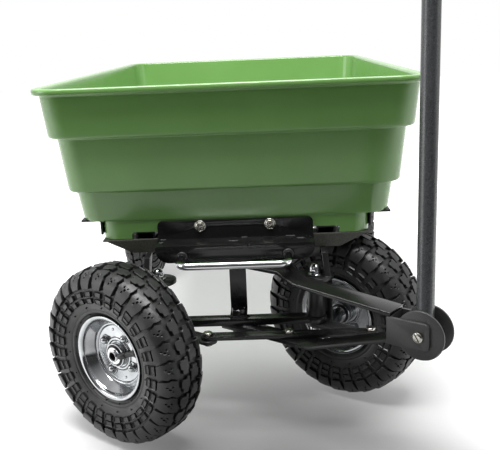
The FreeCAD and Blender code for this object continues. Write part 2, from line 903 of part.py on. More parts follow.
def yoke():
    """The U bracket at the end of the drawbar, two cheeks on a back plate."""
    half = s.yoke_width / 2
    wall = s.yoke_wall
    z = (s.yoke_bottom, s.yoke_bottom + s.yoke_height)
    pin_y = -s.handle_pin_reach
    end = pin_y - s.yoke_end
    cut = s.yoke_corner_cut
    outline = [
        (-s.yoke_back, z[0]), (-s.yoke_back, z[1]), (end + cut, z[1]), (end, z[1] - cut),
        (end, z[0] + cut), (end + cut, z[0]),
    ]
    cheeks = [block((-half, half), (-s.yoke_back - wall, -s.yoke_back), z)]
    for side in SIDES.values():
        x = mirrored(side, half - wall, half)
        cheeks.append(plate("cheek", "yz", outline, wall, x[0]))
    radius = s.handle_pin_diameter / 2
    hole = bore("x", radius + s.running_gap, (-half, pin_y, pin_height), s.yoke_width)
    turned_to_rest(without(joined(cheeks), hole), "handle_yoke")
    head = s.pin_head_diameter / 2
    thick = s.pin_head_thickness
    pin = joined([
        bar("x", radius, (-half - thick, pin_y, pin_height), s.yoke_width + 2 * thick),
        bar("x", head, (-half - thick, pin_y, pin_height), thick),
        bar("x", head, (half, pin_y, pin_height), thick),
    ])
    turned_to_rest(pin, "handle_pin")


def handle():
    """The tube, the two discs at its foot, and the grip with its towing clevis."""
    pin_y = -s.handle_pin_reach
    inner = s.yoke_width / 2 - s.yoke_wall - s.seat_gap
    thick = s.handle_disc_thickness
    pin = s.handle_pin_diameter / 2 + s.running_gap
    discs = []
    for side in SIDES.values():
        x = mirrored(side, inner - thick, inner)
        disc = bar("x", s.handle_disc_diameter / 2, (x[0], pin_y, pin_height), thick)
        discs.append(without(disc, bore("x", pin, (x[0], pin_y, pin_height), thick)))
    hub_half = inner - thick
    hub = bar("x", s.handle_tube_diameter / 2, (-hub_half, pin_y, pin_height), 2 * hub_half)
    tube_radius = s.handle_tube_diameter / 2
    shaft = bar("z", tube_radius, (0, pin_y, pin_height), s.handle_tube_top - pin_height)
    core_foot = (0, pin_y, pin_height + s.handle_tube_diameter)
    core = bar("z", tube_radius - s.handle_tube_wall, core_foot, s.handle_tube_top - pin_height)
    hole = bore("x", pin, (-hub_half, pin_y, pin_height), 2 * hub_half)
    turned_to_rest(without(joined([shaft, hub]), grouped([core, hole])), "handle_tube")
    turned_to_rest(grouped(discs), "handle_discs")
    grip(pin_y)
    clevis(pin_y)


def grip(pin_y):
    """A D-shaped grip on the end of the tube."""
    body = new_body("grip")
    sketch = new_sketch(body, "xz", -pin_y)
    half = s.grip_width / 2
    base = s.grip_base_width / 2
    outer = [
        (-base, s.grip_bottom), (base, s.grip_bottom), (half, s.grip_shoulder), (half, s.grip_top),
        (-half, s.grip_top), (-half, s.grip_shoulder),
    ]
    draw_polygon(sketch, outer)
    side = s.grip_side
    inner_base = s.clevis_width / 2 + s.seat_gap
    floor = s.handle_tube_top
    inner = [
        (-inner_base, floor), (inner_base, floor), (half - side, s.grip_shoulder + side / 2),
        (half - side, s.grip_top - s.grip_bar), (side - half, s.grip_top - s.grip_bar),
        (side - half, s.grip_shoulder + side / 2),
    ]
    draw_polygon(sketch, inner)
    block_feature = pad(body, sketch, s.grip_depth, middle=True)
    shoulder = s.grip_shoulder.value

    def upper_corner(middle, edge):
        along_y = abs(edge.tangentAt(edge.FirstParameter).y) > 0.99
        return along_y and middle.z > shoulder - CUT_PAST

    fillet(body, block_feature, s.grip_round, upper_corner)
    socket = s.handle_tube_diameter / 2 + s.running_gap
    hole = bore("z", socket, (0, pin_y, s.grip_bottom), s.handle_tube_top - s.grip_bottom)
    turned_to_rest(without(body, hole), "handle_grip")


def clevis(pin_y):
    """Two steel cheeks, before and behind the opening of the grip, that take a towing pin."""
    x = (-s.clevis_width / 2, s.clevis_width / 2)
    front = pin_y - s.clevis_span / 2
    back = pin_y + s.clevis_span / 2
    floor = s.handle_tube_top
    web = block(x, (front, back), (floor, floor + s.clevis_wall))
    cheeks = [
        block(x, (front, front + s.clevis_wall), (floor, s.clevis_top)),
        block(x, (back - s.clevis_wall, back), (floor, s.clevis_top)),
    ]
    hole = bore("y", s.tow_bore_diameter / 2, (0, front, s.tow_bore_height), s.clevis_span)
    turned_to_rest(without(joined([web, *cheeks]), hole), "tow_clevis")


# Tub and the steel fixed to it.

tub_front = front_y - s.tub_overhang
tub_rear = tub_front + s.tub_length
floor_underside = s.skirt_bottom + s.floor_recess
skirt_top = s.skirt_bottom + s.skirt_height
tier_three_top = skirt_top + s.tier_three_height
tier_two_top = tier_three_top + s.tier_two_height
tier_one_top = tier_two_top + s.tier_one_height
rim_top = tier_one_top + s.rim_lip_height
skirt_front = tub_front + s.skirt_end_inset
skirt_half = s.tub_width / 2 - s.skirt_side_inset


def tub_ring(body, height, side_inset, end_inset, radius):
    """A rounded rectangle at a height, set in from the outer edge of the rim."""
    sketch = new_sketch(body, "xy", height)
    half = s.tub_width / 2 - side_inset
    draw_rounded_rectangle(sketch, half, tub_front + end_inset, tub_rear - end_inset, radius)
    return sketch


def tub():
    """A stepped tub: three tapered tiers over a straight skirt, hollow, with a rolled rim."""
    body = new_body("tub")
    wall = s.tub_wall
    tiers = [
        (skirt_top, tier_three_top, s.tier_three_foot_inset, s.tier_three_top_inset,
         s.tier_three_corner_radius),
        (tier_three_top, tier_two_top, s.tier_two_foot_inset, s.tier_two_top_inset,
         s.tier_two_corner_radius),
        (tier_two_top, tier_one_top, s.tier_one_foot_inset, s.tier_one_top_inset,
         s.tier_one_corner_radius),
    ]
    skirt = tub_ring(body, s.skirt_bottom, s.skirt_side_inset, s.skirt_end_inset, s.skirt_corner_radius)
    pad(body, skirt, s.skirt_height)
    for low, high, low_inset, high_inset, radius in tiers:
        foot = tub_ring(body, low, low_inset, low_inset, radius)
        head = tub_ring(body, high, high_inset, high_inset, radius)
        loft(body, "AdditiveLoft", foot, head)
    lip = pad(body, tub_ring(body, tier_one_top, sized(0), sized(0), s.rim_corner_radius),
              s.rim_lip_height)
    top = rim_top.value

    def outer_top_edge(middle, edge):
        return abs(middle.z - top) < 0.01

    fillet(body, lip, s.rim_lip_round, outer_top_edge)
    well = tub_ring(body, skirt_top + wall, s.skirt_side_inset + wall, s.skirt_end_inset + wall,
                    s.skirt_corner_radius - wall)
    pocket = body.newObject("PartDesign::Pocket", tag("well"))
    pocket.Profile = well
    bind(pocket, "Length", s.skirt_height - s.floor_recess)
    for low, high, low_inset, high_inset, radius in tiers:
        foot = tub_ring(body, low + wall, low_inset + wall, low_inset + wall, radius - wall)
        head_height = high + wall
        if high is tier_one_top:
            head_height = rim_top
        head = tub_ring(body, head_height, high_inset + wall, high_inset + wall, radius - wall)
        loft(body, "SubtractiveLoft", foot, head)
    recess = tub_ring(body, s.skirt_bottom, s.skirt_side_inset + wall, s.skirt_end_inset + wall,
                      s.skirt_corner_radius - wall)
    hollow = body.newObject("PartDesign::Pocket", tag("recess"))
    hollow.Profile = recess
    hollow.Reversed = True
    bind(hollow, "Length", s.floor_recess)
    notches = []
    for side in SIDES.values():
        centre = side * s.rail_spacing / 2
        x = (centre - s.notch_width / 2, centre + s.notch_width / 2)
        y = (skirt_front - CUT_PAST, skirt_front + wall + CUT_PAST)
        z = (s.skirt_bottom - CUT_PAST, s.skirt_bottom + s.notch_height)
        notches.append(block(x, y, z))
    keep(without(body, grouped([*notches, *latch_bolt_holes(skirt_front, wall)])), "tub")


def latch_bolt_holes(front, thickness):
    """The two holes for the latch bolts through a wall whose outer face is at front."""
    radius = s.latch_bolt_diameter / 2 + s.running_gap
    x = s.latch_bolt_spacing / 2
    return [bore("y", radius, (side * x, front, s.latch_bolt_height), thickness)
            for side in SIDES.values()]


def tub_steel():
    """The side angles, the hinge plates and the latch with its lever, all fixed to the tub."""
    gap = s.seat_gap
    wall = s.sheet_steel
    top = skirt_top - gap
    for side_name, side in SIDES.items():
        inner = skirt_half + gap
        y = (skirt_front + s.ear_front_gap, front_y + s.ear_rear_end)
        web = block(mirrored(side, inner, inner + wall), y, (top - s.ear_height, top))
        flange = block(mirrored(side, inner, inner + s.ear_flange_width), y, (top - wall, top))
        keep(joined([web, flange]), f"tub_side_rail_{side_name}")
    axis_y = front_y + s.tilt_axis_y
    axis_z = s.rail_top - s.rail_height / 2
    half = s.hinge_plate_length / 2
    radius = s.rail_height / 2
    plates = []
    for side in SIDES.values():
        centre = side * s.hinge_plate_spacing / 2
        x = (centre - s.plate / 2, centre + s.plate / 2)
        strap = block(x, (axis_y - 2 * half, axis_y), (axis_z, floor_underside))
        eye = bar("x", radius, (x[0], axis_y, axis_z), s.plate)
        hole = bore("x", s.tilt_rod_diameter / 2 + s.running_gap, (x[0], axis_y, axis_z), s.plate)
        plates.append(without(joined([strap, eye]), hole))
    keep(grouped(plates), "tub_hinge_plates")
    latch()


def latch():
    """A folded latch plate on the front of the skirt, its two bolts and its U-shaped lever."""
    wall = s.sheet_steel
    half = s.latch_width / 2
    back = skirt_front - s.seat_gap
    ledge = s.latch_ledge_bottom
    reach = back - s.latch_reach
    foot = ledge + wall - s.latch_drop
    cut = s.latch_corner_cut
    upper = block((-half, half), (back - wall, back), (ledge, s.latch_flange_top))
    shelf = block((-half, half), (reach, back), (ledge, ledge + wall))
    outline = [
        (cut - half, foot), (half - cut, foot), (half, foot + cut), (half, ledge + wall),
        (-half, ledge + wall), (-half, foot + cut),
    ]
    rod = s.lever_rod_diameter / 2
    lever_x = s.lever_width / 2 - rod
    holes = [((side * lever_x, s.lever_height), rod + s.lever_hole_gap) for side in SIDES.values()]
    lower = plate("latch_flange", "xz", outline, wall, -reach, holes)
    lower.Tip.Reversed = True
    bolt_holes = latch_bolt_holes(back - wall, wall)
    keep(without(joined([upper, shelf, lower]), grouped(bolt_holes)), "latch_bracket")
    bolts = []
    for side in SIDES.values():
        x = side * s.latch_bolt_spacing / 2
        shank_length = wall + s.seat_gap + s.tub_wall
        bolts.append(joined([
            bar("y", s.latch_bolt_diameter / 2, (x, back - wall, s.latch_bolt_height), shank_length),
            bar("y", s.latch_head_diameter / 2, (x, back - wall - s.plate, s.latch_bolt_height), s.plate),
        ]))
    keep(grouped(bolts), "latch_bolts")
    front = reach - s.lever_reach
    bend = s.lever_bend
    z = s.lever_height
    parts = [bar("x", rod, (bend - lever_x, front, z), 2 * (lever_x - bend))]
    for side in SIDES.values():
        parts.append(bar("y", rod, (side * lever_x, front + bend, z), s.lever_reach - bend + 4 * wall))
        corner = doc.addObject("Part::Torus", tag("bend"))
        bind(corner, "Radius1", bend)
        bind(corner, "Radius2", rod)
        corner.Angle3 = 90
        start = 270 if side > 0 else 180
        corner.Placement = FreeCAD.Placement(Vector(0, 0, 0), FreeCAD.Rotation(Vector(0, 0, 1), start))
        for path, size in zip("xyz", (side * (lever_x - bend), front + bend, z)):
            bind(corner, f"Placement.Base.{path}", size)
        parts.append(corner)
    keep(joined(parts), "latch_lever")


# Build, check and write.

def build():
    tub()
    tub_steel()
    cross_beam()
    centre_post()
    axle_beam()
    pivot_bolts()
    for side_name in SIDES:
        rail(side_name)
        front_leg(side_name)
        kingpin(side_name)
        knuckle(side_name)
        stub_axle(side_name)
    tie_rod()
    steering_bolts()
    rear_frame()
    drawbar_arms()
    yoke()
    handle()
    for end in ("front", "rear"):
        for side_name in SIDES:
            wheel(end, side_name)
    doc.recompute()


def check():
    """Stops the build if any object failed or any piece is empty or broken."""
    for thing in doc.Objects:
        if "Invalid" in thing.State or "Error" in thing.State:
            raise RuntimeError(f"{thing.Name} {thing.Label} is {thing.State}")
    for node in nodes:
        if node.Shape.isNull() or not node.Shape.isValid() or not node.Shape.Solids:
            raise RuntimeError(f"{node.Label} has no sound shape")


def write():
    os.makedirs("parts", exist_ok=True)
    for node in nodes:
        node.Shape.exportStep(f"parts/{node.Label}.step")
        print(node.Label, len(node.Shape.Solids), round(node.Shape.Volume))


build()
check()
write()
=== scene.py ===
# Looks for a garden dump cart: finishes, tyres, rims, moulded tub and fasteners
import bpy
import json
from math import cos, pi, radians, sin
from mathutils import Matrix, Vector

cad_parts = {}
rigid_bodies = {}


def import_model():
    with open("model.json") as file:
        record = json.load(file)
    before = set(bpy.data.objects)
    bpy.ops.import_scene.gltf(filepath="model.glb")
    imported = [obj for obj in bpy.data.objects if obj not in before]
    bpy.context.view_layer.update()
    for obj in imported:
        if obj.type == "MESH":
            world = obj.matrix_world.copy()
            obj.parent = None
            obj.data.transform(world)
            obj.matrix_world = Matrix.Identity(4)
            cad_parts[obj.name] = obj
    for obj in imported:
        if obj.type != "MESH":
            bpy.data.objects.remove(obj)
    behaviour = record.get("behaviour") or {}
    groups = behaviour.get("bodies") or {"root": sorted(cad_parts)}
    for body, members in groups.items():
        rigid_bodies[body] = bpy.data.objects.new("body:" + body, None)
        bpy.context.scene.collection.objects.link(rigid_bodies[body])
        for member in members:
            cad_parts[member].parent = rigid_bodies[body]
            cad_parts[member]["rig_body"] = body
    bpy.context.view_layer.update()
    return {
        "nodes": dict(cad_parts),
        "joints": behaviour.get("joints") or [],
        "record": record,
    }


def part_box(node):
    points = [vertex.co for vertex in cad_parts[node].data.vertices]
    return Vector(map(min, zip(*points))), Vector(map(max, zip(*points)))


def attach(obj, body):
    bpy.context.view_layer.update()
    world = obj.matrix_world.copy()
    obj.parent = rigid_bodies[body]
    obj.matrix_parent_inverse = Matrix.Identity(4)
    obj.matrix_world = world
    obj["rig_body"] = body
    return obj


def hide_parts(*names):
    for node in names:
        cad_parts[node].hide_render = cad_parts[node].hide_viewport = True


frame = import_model()
mm = 0.001
joints = {joint["name"]: joint for joint in frame["joints"]}
sides = {"left": -1, "right": 1}


# Selecting and shaping

def leaveEdit():
    if bpy.context.mode != "OBJECT":
        bpy.ops.object.mode_set(mode="OBJECT")


def clearSelection():
    leaveEdit()
    bpy.ops.object.select_all(action="DESELECT")


def activate(piece):
    clearSelection()
    piece.select_set(True)
    bpy.context.view_layer.objects.active = piece


def editAll(piece):
    # the whole mesh is selected, ready to edit
    activate(piece)
    bpy.ops.object.mode_set(mode="EDIT")
    bpy.ops.mesh.select_all(action="SELECT")


def clearMesh(piece, kind):
    # nothing of the mesh stays selected, and its edges or faces can be picked
    editAll(piece)
    bpy.ops.mesh.select_mode(type=kind)
    bpy.ops.mesh.select_all(action="DESELECT")
    leaveEdit()


def pickEdges(piece, test):
    # test gets each edge's middle and its run
    clearMesh(piece, "EDGE")
    points = piece.data.vertices
    for edge in piece.data.edges:
        start, end = (points[i].co for i in edge.vertices)
        edge.select = test((start + end) / 2, end - start)
    bpy.ops.object.mode_set(mode="EDIT")


def pickFaces(piece, test):
    # test gets each face's middle and its normal
    clearMesh(piece, "FACE")
    for face in piece.data.polygons:
        face.select = test(face.center, face.normal)
    bpy.ops.object.mode_set(mode="EDIT")


def closeSeams(piece, distance=0.01 * mm):
    # merge doubles first, then turn every face outwards
    editAll(piece)
    bpy.ops.mesh.remove_doubles(threshold=distance)
    bpy.ops.mesh.normals_make_consistent(inside=False)
    leaveEdit()


def applyModifier(piece, kind, **settings):
    activate(piece)
    modifier = piece.modifiers.new(kind.title(), kind)
    for key, value in settings.items():
        setattr(modifier, key, value)
    bpy.ops.object.modifier_apply(modifier=modifier.name)


def discard(*pieces):
    for piece in pieces:
        bpy.data.objects.remove(piece)


def cutWith(piece, cutter, operation="DIFFERENCE"):
    applyModifier(piece, "BOOLEAN", object=cutter, operation=operation, solver="EXACT")
    discard(cutter)


def softenEdges(piece, width=0.8 * mm, segments=2, angle=30):
    applyModifier(
        piece, "BEVEL", width=width, segments=segments, limit_method="ANGLE",
        angle_limit=radians(angle), use_clamp_overlap=True,
    )


def smooth(piece, angle):
    # faces that meet at less than the angle, in degrees, blend
    activate(piece)
    bpy.ops.object.shade_smooth_by_angle(angle=radians(angle))


def nameIt(name):
    piece = bpy.context.object
    piece.name = name
    piece.data.name = name
    return piece


def drawChain(name, points):
    # one vertex, pulled along from point to point
    clearSelection()
    bpy.ops.mesh.primitive_plane_add(size=mm)
    piece = nameIt(name)
    editAll(piece)
    bpy.ops.mesh.select_mode(type="VERT")
    bpy.ops.mesh.merge(type="CENTER")
    bpy.ops.transform.translate(value=points[0])
    for start, end in zip(points, points[1:]):
        step = Vector(end) - Vector(start)
        bpy.ops.mesh.extrude_vertices_move(TRANSFORM_OT_translate={"value": step})
    leaveEdit()
    return piece


def turnProfile(name, outline, steps):
    # outline is (along X, radius) in mm, spun about X; it closes unless it ends on the axis
    points = [(x * mm, 0, r * mm) for x, r in outline]
    if outline[-1][1] > 0:
        points.append(points[0])
    piece = drawChain(name, points)
    editAll(piece)
    bpy.ops.mesh.spin(steps=steps, angle=2 * pi, center=(0, 0, 0), axis=(1, 0, 0))
    closeSeams(piece)
    return piece


def roundCorners(corners, steps=4):
    # each corner becomes a short curve; the last of its numbers is the rounding
    line = []
    points = [Vector(corner[:-1]) for corner in corners]
    for i, corner in enumerate(points):
        size = corners[i][-1]
        if not size:
            line.append(corner)
            continue
        before = points[i - 1] - corner
        after = points[(i + 1) % len(points)] - corner
        start = corner + before * min(size / before.length, 0.49)
        end = corner + after * min(size / after.length, 0.49)
        for step in range(steps + 1):
            t = step / steps
            line.append(start * (1 - t) ** 2 + corner * 2 * t * (1 - t) + end * t ** 2)
    return line


def joinInto(name, pieces):
    clearSelection()
    for piece in pieces:
        piece.select_set(True)
    bpy.context.view_layer.objects.active = pieces[0]
    if len(pieces) > 1:
        bpy.ops.object.join()
    return nameIt(name)


def copyTo(piece, name, matrix):
    twin = piece.copy()
    twin.data = piece.data.copy()
    twin.name = name
    twin.data.name = name
    bpy.context.scene.collection.objects.link(twin)
    twin.data.transform(matrix)
    twin.matrix_world = Matrix.Identity(4)
    return twin


def settle(piece):
    # place, turn and size go into the mesh
    activate(piece)
    bpy.ops.object.transform_apply(location=True, rotation=True, scale=True)


def addBlock(name, place, size):
    clearSelection()
    bpy.ops.mesh.primitive_cube_add(size=1, location=place)
    block = nameIt(name)
    block.scale = size
    settle(block)
    return block


def placePiece(name, parts, matrix):
    # parts made about the origin become one piece in its place
    joined = joinInto(name + "_loose", parts)
    piece = copyTo(joined, name, matrix)
    discard(joined)
    return piece


def finishPiece(piece, material, body, nodes=()):
    # its one material, the body it moves with and the nodes it stands in for
    piece.data.materials.clear()
    piece.data.materials.append(material)
    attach(piece, body)
    if nodes:
        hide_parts(*nodes)


# Materials

def hexColour(text):
    # sRGB hex to linear
    channels = [int(text[i:i + 2], 16) / 255 for i in (1, 3, 5)]
    linear = [c / 12.92 if c <= 0.04045 else ((c + 0.055) / 1.055) ** 2.4 for c in channels]
    return (*linear, 1)


def addNode(tree, kind, settings=None, links=None):
    # settings name a socket's value or a property, links name the socket each output goes to
    node = tree.nodes.new("ShaderNode" + kind)
    for key, value in (settings or {}).items():
        if isinstance(key, int) or key in node.inputs:
            node.inputs[key].default_value = value
        else:
            setattr(node, key, value)
    for key, socket in (links or {}).items():
        tree.links.new(socket, node.inputs[key])
    return node


cloudRange = (0.35, 0.65)  # most of a noise lies between these
coatClouds = (40, 4, 0.6)  # how the gloss of a coat wanders


def makeSurface(name, values):
    # two tones in clouds or specks, a gloss that wanders and a fine relief. Each of these patterns
    # is a size in mm, a detail and a roughness, and height is the relief's, in mm
    material = bpy.data.materials.new(name)
    material.use_nodes = True
    tree = material.node_tree
    shader = tree.nodes["Principled BSDF"]
    for key in ("IOR", "Metallic"):
        shader.inputs[key].default_value = values.get(key, shader.inputs[key].default_value)
    place = addNode(tree, "TexCoord").outputs["Object"]
    fields = {}
    for field in ("tone", "sheen", "relief"):
        size, detail, rough = values.get(field, coatClouds)
        fields[field] = addNode(
            tree, "TexNoise",
            {"Scale": 1 / (size * mm), "Detail": detail, "Roughness": rough}, {"Vector": place},
        ).outputs["Fac"]
    low, high = values.get("toneRange", cloudRange)
    share = addNode(
        tree, "MapRange", {"From Min": low, "From Max": high}, {"Value": fields["tone"]},
    )
    dark, pale = values["colours"]
    colour = addNode(
        tree, "Mix",
        {"data_type": "RGBA", 6: hexColour(dark), 7: hexColour(pale)},
        {0: share.outputs["Result"]},
    )
    tree.links.new(colour.outputs[2], shader.inputs["Base Color"])
    low, high = cloudRange
    least, most = values["gloss"]
    gloss = addNode(
        tree, "MapRange",
        {"From Min": low, "From Max": high, "To Min": least, "To Max": most},
        {"Value": fields["sheen"]},
    )
    tree.links.new(gloss.outputs["Result"], shader.inputs["Roughness"])
    bump = addNode(
        tree, "Bump", {"Distance": values["height"] * mm}, {"Height": fields["relief"]},
    )
    tree.links.new(bump.outputs["Normal"], shader.inputs["Normal"])
    return material


# injection-moulded polyethylene: a waxy half gloss, faint flow clouds and a very soft orange peel
greenTub = makeSurface("moulded_polyethylene", {
    "IOR": 1.51, "colours": ("#6A9552", "#6E9956"), "gloss": (0.15, 0.22),
    "tone": (90, 2, 0.5), "sheen": (40, 3, 0.5), "relief": (9, 2, 0.5), "height": 0.03,
})
# vulcanised rubber from a steel mould: dark, half dull, with a grey bloom in patches. The mould's
# fine grain is drawn at 0.9 mm, since its real size would not show
tyreRubber = makeSurface("moulded_rubber", {
    "IOR": 1.52, "colours": ("#191919", "#222222"), "gloss": (0.34, 0.54),
    "tone": (35, 4, 0.6), "sheen": (35, 4, 0.6), "relief": (0.9, 2, 0.5), "height": 0.06,
})
# powder coat on sheet steel: black with a soft sheen and an orange peel from the flowing powder.
# In all four coats the specks are drawn at 1.6 to 3 mm, far coarser than the powder, to show
satinPaint = makeSurface("satin_powder_coated_steel", {
    "IOR": 1.5, "colours": ("#191919", "#1F1F1F"), "gloss": (0.32, 0.44),
    "tone": (2.5, 2, 0.7), "relief": (3, 3, 0.5), "height": 0.05,
})
# the same coat, baked glossier: near black, with highlights that run along the bends
glossPaint = makeSurface("gloss_powder_coated_steel", {
    "IOR": 1.5, "colours": ("#111111", "#171717"), "gloss": (0.20, 0.28),
    "tone": (3, 2, 0.7), "relief": (4, 3, 0.5), "height": 0.015,
})
# grey powder coat: an even, dull face
greyPaint = makeSurface("satin_grey_coated_steel", {
    "IOR": 1.5, "colours": ("#323232", "#383838"), "gloss": (0.36, 0.46),
    "tone": (2, 2, 0.7), "relief": (3, 3, 0.5), "height": 0.04,
})
# olive powder coat: matt, with pale specks
olivePaint = makeSurface("olive_powder_coated_steel", {
    "IOR": 1.5, "colours": ("#3F403A", "#55564E"), "gloss": (0.42, 0.55),
    "tone": (1.6, 2, 0.7), "toneRange": (0.4, 0.66), "relief": (2, 3, 0.5),
    "height": 0.08,
})
# hammer-finish enamel, baked on: fine pale specks with shallow dimples between them
hammerPaint = makeSurface("hammer_finish_coated_steel", {
    "IOR": 1.5, "colours": ("#323334", "#4E5052"), "gloss": (0.22, 0.34),
    "tone": (1.1, 2, 0.7), "toneRange": (0.42, 0.68), "relief": (1.8, 3, 0.5),
    "height": 0.14,
})
# zinc plate on pressed sheet: faint clouds, and a slight ripple from the press
rimSteel = makeSurface("zinc_plated_pressed_steel", {
    "Metallic": 1.0, "colours": ("#B4B6B8", "#9FA1A3"), "gloss": (0.10, 0.19),
    "tone": (30, 4, 0.6), "sheen": (30, 4, 0.6), "relief": (22, 2, 0.5), "height": 0.10,
})
# zinc plate on turned bolts: bright, a little warm, clouded where hands and tools have been
boltSteel = makeSurface("zinc_plated_turned_steel", {
    "Metallic": 1.0, "colours": ("#C6C4BC", "#A9A79F"), "gloss": (0.18, 0.30),
    "tone": (6, 4, 0.6), "sheen": (6, 4, 0.6), "relief": (3, 2, 0.5), "height": 0.05,
})
# black passivate over zinc, on the two big bolts: a dark metal gleam
boltBlack = makeSurface("black_passivated_turned_steel", {
    "Metallic": 1.0, "colours": ("#565656", "#494949"), "gloss": (0.26, 0.38),
    "tone": (6, 4, 0.6), "sheen": (6, 4, 0.6), "relief": (3, 2, 0.5), "height": 0.05,
})
# painted shade inside the hollow axle ends: unplated drilled steel drawn near black
boreShadeLining = makeSurface("drilled_steel_painted_shade", {
    "IOR": 1.5, "colours": ("#1B1A19", "#242321"), "gloss": (0.50, 0.65),
    "tone": (4, 4, 0.6), "sheen": (4, 4, 0.6), "relief": (2, 2, 0.5), "height": 0.05,
})
# chrome plate on drawn rod, nearly a mirror
rodSteel = makeSurface("chromed_drawn_steel", {
    "Metallic": 1.0, "colours": ("#DADBDC", "#CDCED0"), "gloss": (0.07, 0.13),
    "tone": (20, 4, 0.6), "sheen": (20, 4, 0.6), "relief": (12, 2, 0.5), "height": 0.03,
})
# moulded grip plastic with an etched grain, drawn at 1 mm so that it shows: quite dull
plasticGrip = makeSurface("moulded_grip_plastic", {
    "IOR": 1.5, "colours": ("#1A1A1B", "#212122"), "gloss": (0.50, 0.62),
    "tone": (1.5, 2, 0.7), "relief": (1, 3, 0.5), "height": 0.12,
})
print("materials made")

slotMaterials = {
    "green_polyethylene": greenTub, "tyre_rubber": tyreRubber, "zinc_plated_rim": rimSteel,
    "zinc_plated_steel": boltSteel, "hammered_grey_paint": hammerPaint,
    "black_grip_plastic": plasticGrip, "black_painted_steel": satinPaint,
}
nodeSlots = {part["node"]: part["material_slot"] for part in frame["record"]["subparts"]}
for node, piece in frame["nodes"].items():
    piece.data.materials.clear()
    piece.data.materials.append(slotMaterials[nodeSlots[node]])


def standFor(piece, node, material=None):
    # the piece takes a node's body and, unless another is given, its slot's material, and is shown
    # in its place
    slotName = nodeSlots[node]
    body = frame["nodes"][node]["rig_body"]
    finishPiece(piece, material or slotMaterials[slotName], body, [node])


# Sheet steel and bars: a copy of each with its edges softened

sheetCorners = {
    # rounding, the axis its corners lie apart along, and how far from the middle they lie
    "latch_bracket": (7, 0, 95), "handle_yoke": (2.6, 2, 13),
}
sheetRange = (2 * mm, 4.5 * mm)  # a corner's edge is as long as the sheet is thick


def softCopy(node, material):
    source = frame["nodes"][node]
    piece = bpy.data.objects.new(node + "_finished", source.data.copy())
    bpy.context.scene.collection.objects.link(piece)
    editAll(piece)
    bpy.ops.mesh.remove_doubles(threshold=0.005 * mm)
    bpy.ops.mesh.dissolve_limited(angle_limit=radians(0.5))
    leaveEdit()
    if node in sheetCorners:
        rounding, axis, reach = sheetCorners[node]
        middle = sum(corner[axis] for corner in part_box(node)) / 2
        thinnest, thickest = sheetRange
        pickEdges(piece, lambda spot, run: (
            thinnest < run.length < thickest and abs(run[axis]) < 0.01 * mm
            and abs(spot[axis] - middle) > reach * mm
        ))
        bpy.ops.mesh.bevel(offset=rounding * mm, segments=4, affect="EDGES")
        leaveEdit()
    softenEdges(piece)
    closeSeams(piece, 0.001 * mm)
    smooth(piece, 35)
    standFor(piece, node, material)


ownPaint = {
    "front_cross_beam": olivePaint, "centre_post": glossPaint, "front_axle_beam": glossPaint,
    "latch_bracket": glossPaint, "drawbar_lower_arm": glossPaint, "drawbar_upper_arm": glossPaint,
    "tie_rod": glossPaint, "tub_side_rail_left": greyPaint, "tub_side_rail_right": greyPaint,
    "handle_yoke": greyPaint, "handle_discs": greyPaint,
}
for node, slotName in nodeSlots.items():
    if slotName in ("black_painted_steel", "hammered_grey_paint", "black_grip_plastic"):
        softCopy(node, ownPaint.get(node))
print("steel softened")


# Tub

tubShape = {
    # side inset, end inset, height, corner radius, rounding: from the underside, round the skirt,
    # up the outside, over the lip and down the inside to the floor
    "levels": [
        (81, 54, 10.5, 22, 2), (81, 54, 0, 22, 1.5), (77, 50, 0, 26, 1.5), (77, 50, 28.5, 26, 3),
        (48, 48, 28.5, 32, 4.5), (42, 42, 74.5, 32, 3), (32.5, 32.5, 74.5, 34, 4.5),
        (25, 25, 154.5, 34, 3), (15, 15, 154.5, 36, 4.5), (9.5, 9.5, 215.5, 36, 3),
        (0, 0, 215.5, 44, 3.6), (0, 0, 224, 44, 4), (13.5, 13.5, 224, 34, 4),
        (19, 19, 158.5, 32, 4), (29, 29, 158.5, 30, 4), (36.5, 36.5, 78.5, 30, 4),
        (46, 46, 78.5, 28, 4), (52, 52, 32.5, 28, 4), (81, 54, 32.5, 22, 4), (81, 54, 14.5, 22, 5),
    ],
    "cornerSteps": 9,
    "notchSpacing": 265, "notchWidth": 39, "notchHeight": 10.5, "notchRound": 4, "notchPlace": 50,
    "notchDepth": 20,
}


